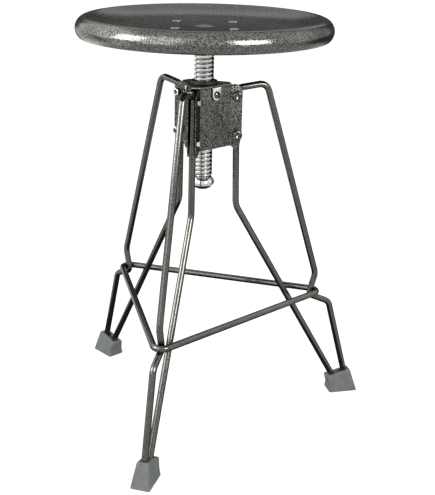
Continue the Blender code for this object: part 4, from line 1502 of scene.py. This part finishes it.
@dataclass
class Studio:
    """Pale floor, soft light and the camera at the photograph's place."""

    camera_azimuth: float = 17.44
    camera_distance: float = 1.3248
    camera_height: float = 0.7392
    pan: float = 0.4546
    tilt: float = -20.1093
    roll: float = 1.0835
    focal_pixels: float = 960.88
    middle: Pair = (208.49, 247.77)
    image: tuple[int, int] = (435, 495)
    sensor_mm: float = 36.0
    clip_start: float = 0.05
    front: float = 17.4
    light_height: float = 0.4
    softboxes: tuple[Softbox, ...] = (
        Softbox("panel_left", -106.0, 30.0, 1.6, 2.3, 1.6, 13.0),
        Softbox("panel_right", 112.0, 26.0, 1.6, 1.6, 1.3, 2.8),
        Softbox("panel_front", -38.0, 28.0, 1.6, 1.0, 1.8, 9.0),
        Softbox("lamp_left", -68.0, 26.0, 1.65, 0.6, 0.95, 17.0),
        Softbox("lamp_right", 39.0, 25.0, 1.6, 0.7, 0.7, 19.0),
        Softbox("sheet_left", -78.0, -18.0, 1.6, 0.7, 0.8, 1.3),
        Softbox("sheet_behind", -128.0, -14.0, 1.6, 1.3, 1.0, 3.4),
        Softbox("panel_back", 180.0, 36.0, 2.5, 2.4, 1.3, 5.0),
    )
    white: str = "#ffffff"
    dim: str = "#454645"
    world_strength: float = 1.02
    # Ranges of how far a direction points to the front, down and up, over which the room's tone changes
    front_lean: float = 25.0
    front_range: Pair = (-0.45, 0.0)
    below_range: Pair = (0.3, 0.45)
    above_range: Pair = (-0.2, 0.05)
    low_tone: float = 0.78
    floor_reach: float = 12.0
    fibre_mm: float = 60.0
    fibre_range: Pair = (0.3, 0.7)
    fibre_tones: tuple[str, str] = ("#6a6a69", "#727271")
    floor_roughness: float = 0.95
    floor_glow: float = 0.93
    # Painted shadow: a dark sheet under the stool that only reflections show, for the stool's shadow on the
    # floor
    floor_shadow_reach: float = 0.32
    floor_shadow_back: float = 0.1
    floor_shadow_height: float = 0.0005
    floor_shadow_sides: int = 96
    floor_shadow_tone: str = "#0c0c0c"

    def swing(self) -> np.ndarray:
        """Turn about the spindle that carries the camera's side to its azimuth.

        Returns:
            The turn as a matrix of 3 by 3.
        """
        turn = math.radians(self.camera_azimuth)
        cos, sin = math.cos(turn), math.sin(turn)
        return np.array([[cos, -sin, 0.0], [sin, cos, 0.0], [0.0, 0.0, 1.0]])

    def build_camera(self) -> None:
        """Set the camera from the fitted pinhole: place, pan, tilt, roll, focal length and middle point."""
        pan, tilt, roll = (math.radians(angle) for angle in (self.pan, self.tilt, self.roll))
        ahead = np.array((math.sin(pan) * math.cos(tilt), math.cos(pan) * math.cos(tilt), math.sin(tilt)))
        level = np.array((math.cos(pan), -math.sin(pan), 0.0))
        upright = np.cross(level, ahead)
        side = math.cos(roll) * level + math.sin(roll) * upright
        up = -math.sin(roll) * level + math.cos(roll) * upright
        swing = self.swing()
        place = swing @ np.array((0.0, -self.camera_distance, self.camera_height)) + (0.0, SPINDLE_Y, 0.0)
        data = bpy.data.cameras.new("camera")
        data.sensor_fit = "VERTICAL"
        data.sensor_height = self.sensor_mm
        data.lens = self.focal_pixels / self.image[1] * data.sensor_height
        data.shift_x = (self.image[0] / 2 - self.middle[0]) / self.image[1]
        data.shift_y = (self.middle[1] - self.image[1] / 2) / self.image[1]
        data.clip_start = self.clip_start
        camera = bpy.data.objects.new("camera", data)
        camera.matrix_world = facing(swing @ side, swing @ up, swing @ -ahead, place)
        bpy.context.scene.collection.objects.link(camera)
        bpy.context.scene.camera = camera

    def lay(self, name: str, outline: np.ndarray, material: bpy.types.Material, *unseen_by: Ray) -> None:
        """Lay a flat sheet of the studio, hidden from some kinds of ray.

        Args:
            name: the sheet's name.
            outline: its corners in order.
            material: its finish.
            unseen_by: kinds of ray that don't meet it.
        """
        mesh = bpy.data.meshes.new(name)
        mesh.from_pydata(outline.tolist(), [], [tuple(range(len(outline)))])
        mesh.materials.append(material)
        sheet = bpy.data.objects.new(name, mesh)
        for ray in unseen_by:
            setattr(sheet, ray.value, False)
        bpy.context.scene.collection.objects.link(sheet)

    def build_floor(self) -> None:
        """Lay a wide pale floor, lit from below like a light table.

        Only the camera sees it: the light that it gives the stool is the lower half of the world.
        """
        material, tree, shader = new_material("studio_paper")
        place = add_node(tree, "ShaderNodeTexCoord").outputs["Object"]
        inputs = {"Vector": place, "Scale": grain_scale(self.fibre_mm)}
        fibre = add_node(tree, "ShaderNodeTexNoise", inputs).outputs["Fac"]
        tone = tinted(tree, fibre, self.fibre_range, self.fibre_tones)
        tree.links.new(tone, shader.inputs["Base Color"])
        shader.inputs["Roughness"].default_value = self.floor_roughness
        shader.inputs["Emission Color"].default_value = linear(self.white)
        shader.inputs["Emission Strength"].default_value = self.floor_glow
        outline = np.column_stack([np.array(SQUARE) * self.floor_reach, np.zeros(len(SQUARE))])
        self.lay("studio_floor", outline, material, Ray.GLOSSY, Ray.DIFFUSE, Ray.SHADOW)

    def build_floor_shadow(self) -> None:
        """Lay a dark round sheet under the stool that only glossy pieces mirror: a painted shadow of the
        stool on the floor.
        """
        material, _, shader = new_material("studio_painted_floor_shadow_matt")
        shader.inputs["Base Color"].default_value = linear(self.floor_shadow_tone)
        shader.inputs["Roughness"].default_value = 1.0
        angles = np.linspace(0.0, math.tau, self.floor_shadow_sides, endpoint=False)
        outline = ringed(self.floor_shadow_reach, self.floor_shadow_height, angles) + (0.0, self.floor_shadow_back, 0.0)
        outline = outline @ self.swing().T + (0.0, SPINDLE_Y, 0.0)
        self.lay("studio_painted_floor_shadow", outline, material, Ray.CAMERA, Ray.DIFFUSE, Ray.SHADOW)

    def build_world(self) -> None:
        """Light the room: pale in front, overhead and underfoot, and dim behind.

        The tone is the larger of two smooth steps, of how far the direction points to the front and of how
        far it points down, times a smooth step of its height. The camera itself sees a white room.
        """
        world = bpy.data.worlds.new("studio")
        bpy.context.scene.world = world
        world.use_nodes = True
        tree = world.node_tree
        way = add_node(tree, "ShaderNodeTexCoord").outputs["Generated"]

        def towards(axis: np.ndarray, source: Pair, target: Pair = (0.0, 1.0)) -> Socket:
            """Smooth step of how far a direction points along an axis.

            Args:
                axis: the axis, one unit long.
                source: range of the direction's part along the axis.
                target: range of the result.

            Returns:
                The result's socket.
            """
            dot = add_node(tree, "ShaderNodeVectorMath", {0: way, 1: tuple(axis)}, operation="DOT_PRODUCT")
            inputs = span(dot.outputs["Value"], source, target)
            steps = add_node(tree, "ShaderNodeMapRange", inputs, interpolation_type="SMOOTHSTEP")
            return steps.outputs["Result"]

        lean = math.radians(self.front_lean)
        upwards = np.array((0.0, 0.0, 1.0))
        front = towards(self.swing() @ (0.0, -math.cos(lean), math.sin(lean)), self.front_range)
        below = towards(-upwards, self.below_range)
        above = towards(upwards, self.above_range, (self.low_tone, 1.0))
        wide = add_node(tree, "ShaderNodeMath", {0: front, 1: below}, operation="MAXIMUM")
        lit = add_node(tree, "ShaderNodeMath", {0: wide.outputs["Value"], 1: above}, operation="MULTIPLY")
        inputs = {"Factor": lit.outputs["Value"], "A": linear(self.dim), "B": linear(self.white)}
        room = add_node(tree, "ShaderNodeMix", inputs, data_type="RGBA").outputs["Result"]
        direct = add_node(tree, "ShaderNodeLightPath").outputs["Is Camera Ray"]
        inputs = {"Factor": direct, "A": room, "B": linear(self.white)}
        tone = add_node(tree, "ShaderNodeMix", inputs, data_type="RGBA").outputs["Result"]
        background = tree.nodes["Background"]
        tree.links.new(tone, background.inputs["Color"])
        background.inputs["Strength"].default_value = self.world_strength

    def build(self) -> None:
        """Build floor, light and camera."""
        self.build_world()
        self.build_floor()
        # Painted shadow under the stool, seen only in reflections
        self.build_floor_shadow()
        for softbox in self.softboxes:
            softbox.build(np.array((0.0, SPINDLE_Y, self.light_height)), self.front)
        self.build_camera()
        bpy.context.scene.view_settings.view_transform = "Standard"


def main() -> None:
    """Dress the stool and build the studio."""
    logging.basicConfig(level=logging.INFO, format="%(name)s: %(message)s")
    shop = Workshop()
    for part in (Seat(), ScrewLift(), Bracket(), Stand()):
        part.build(shop)
    Studio().build()
    bpy.context.view_layer.update()


if __name__ == "__main__":
    main()
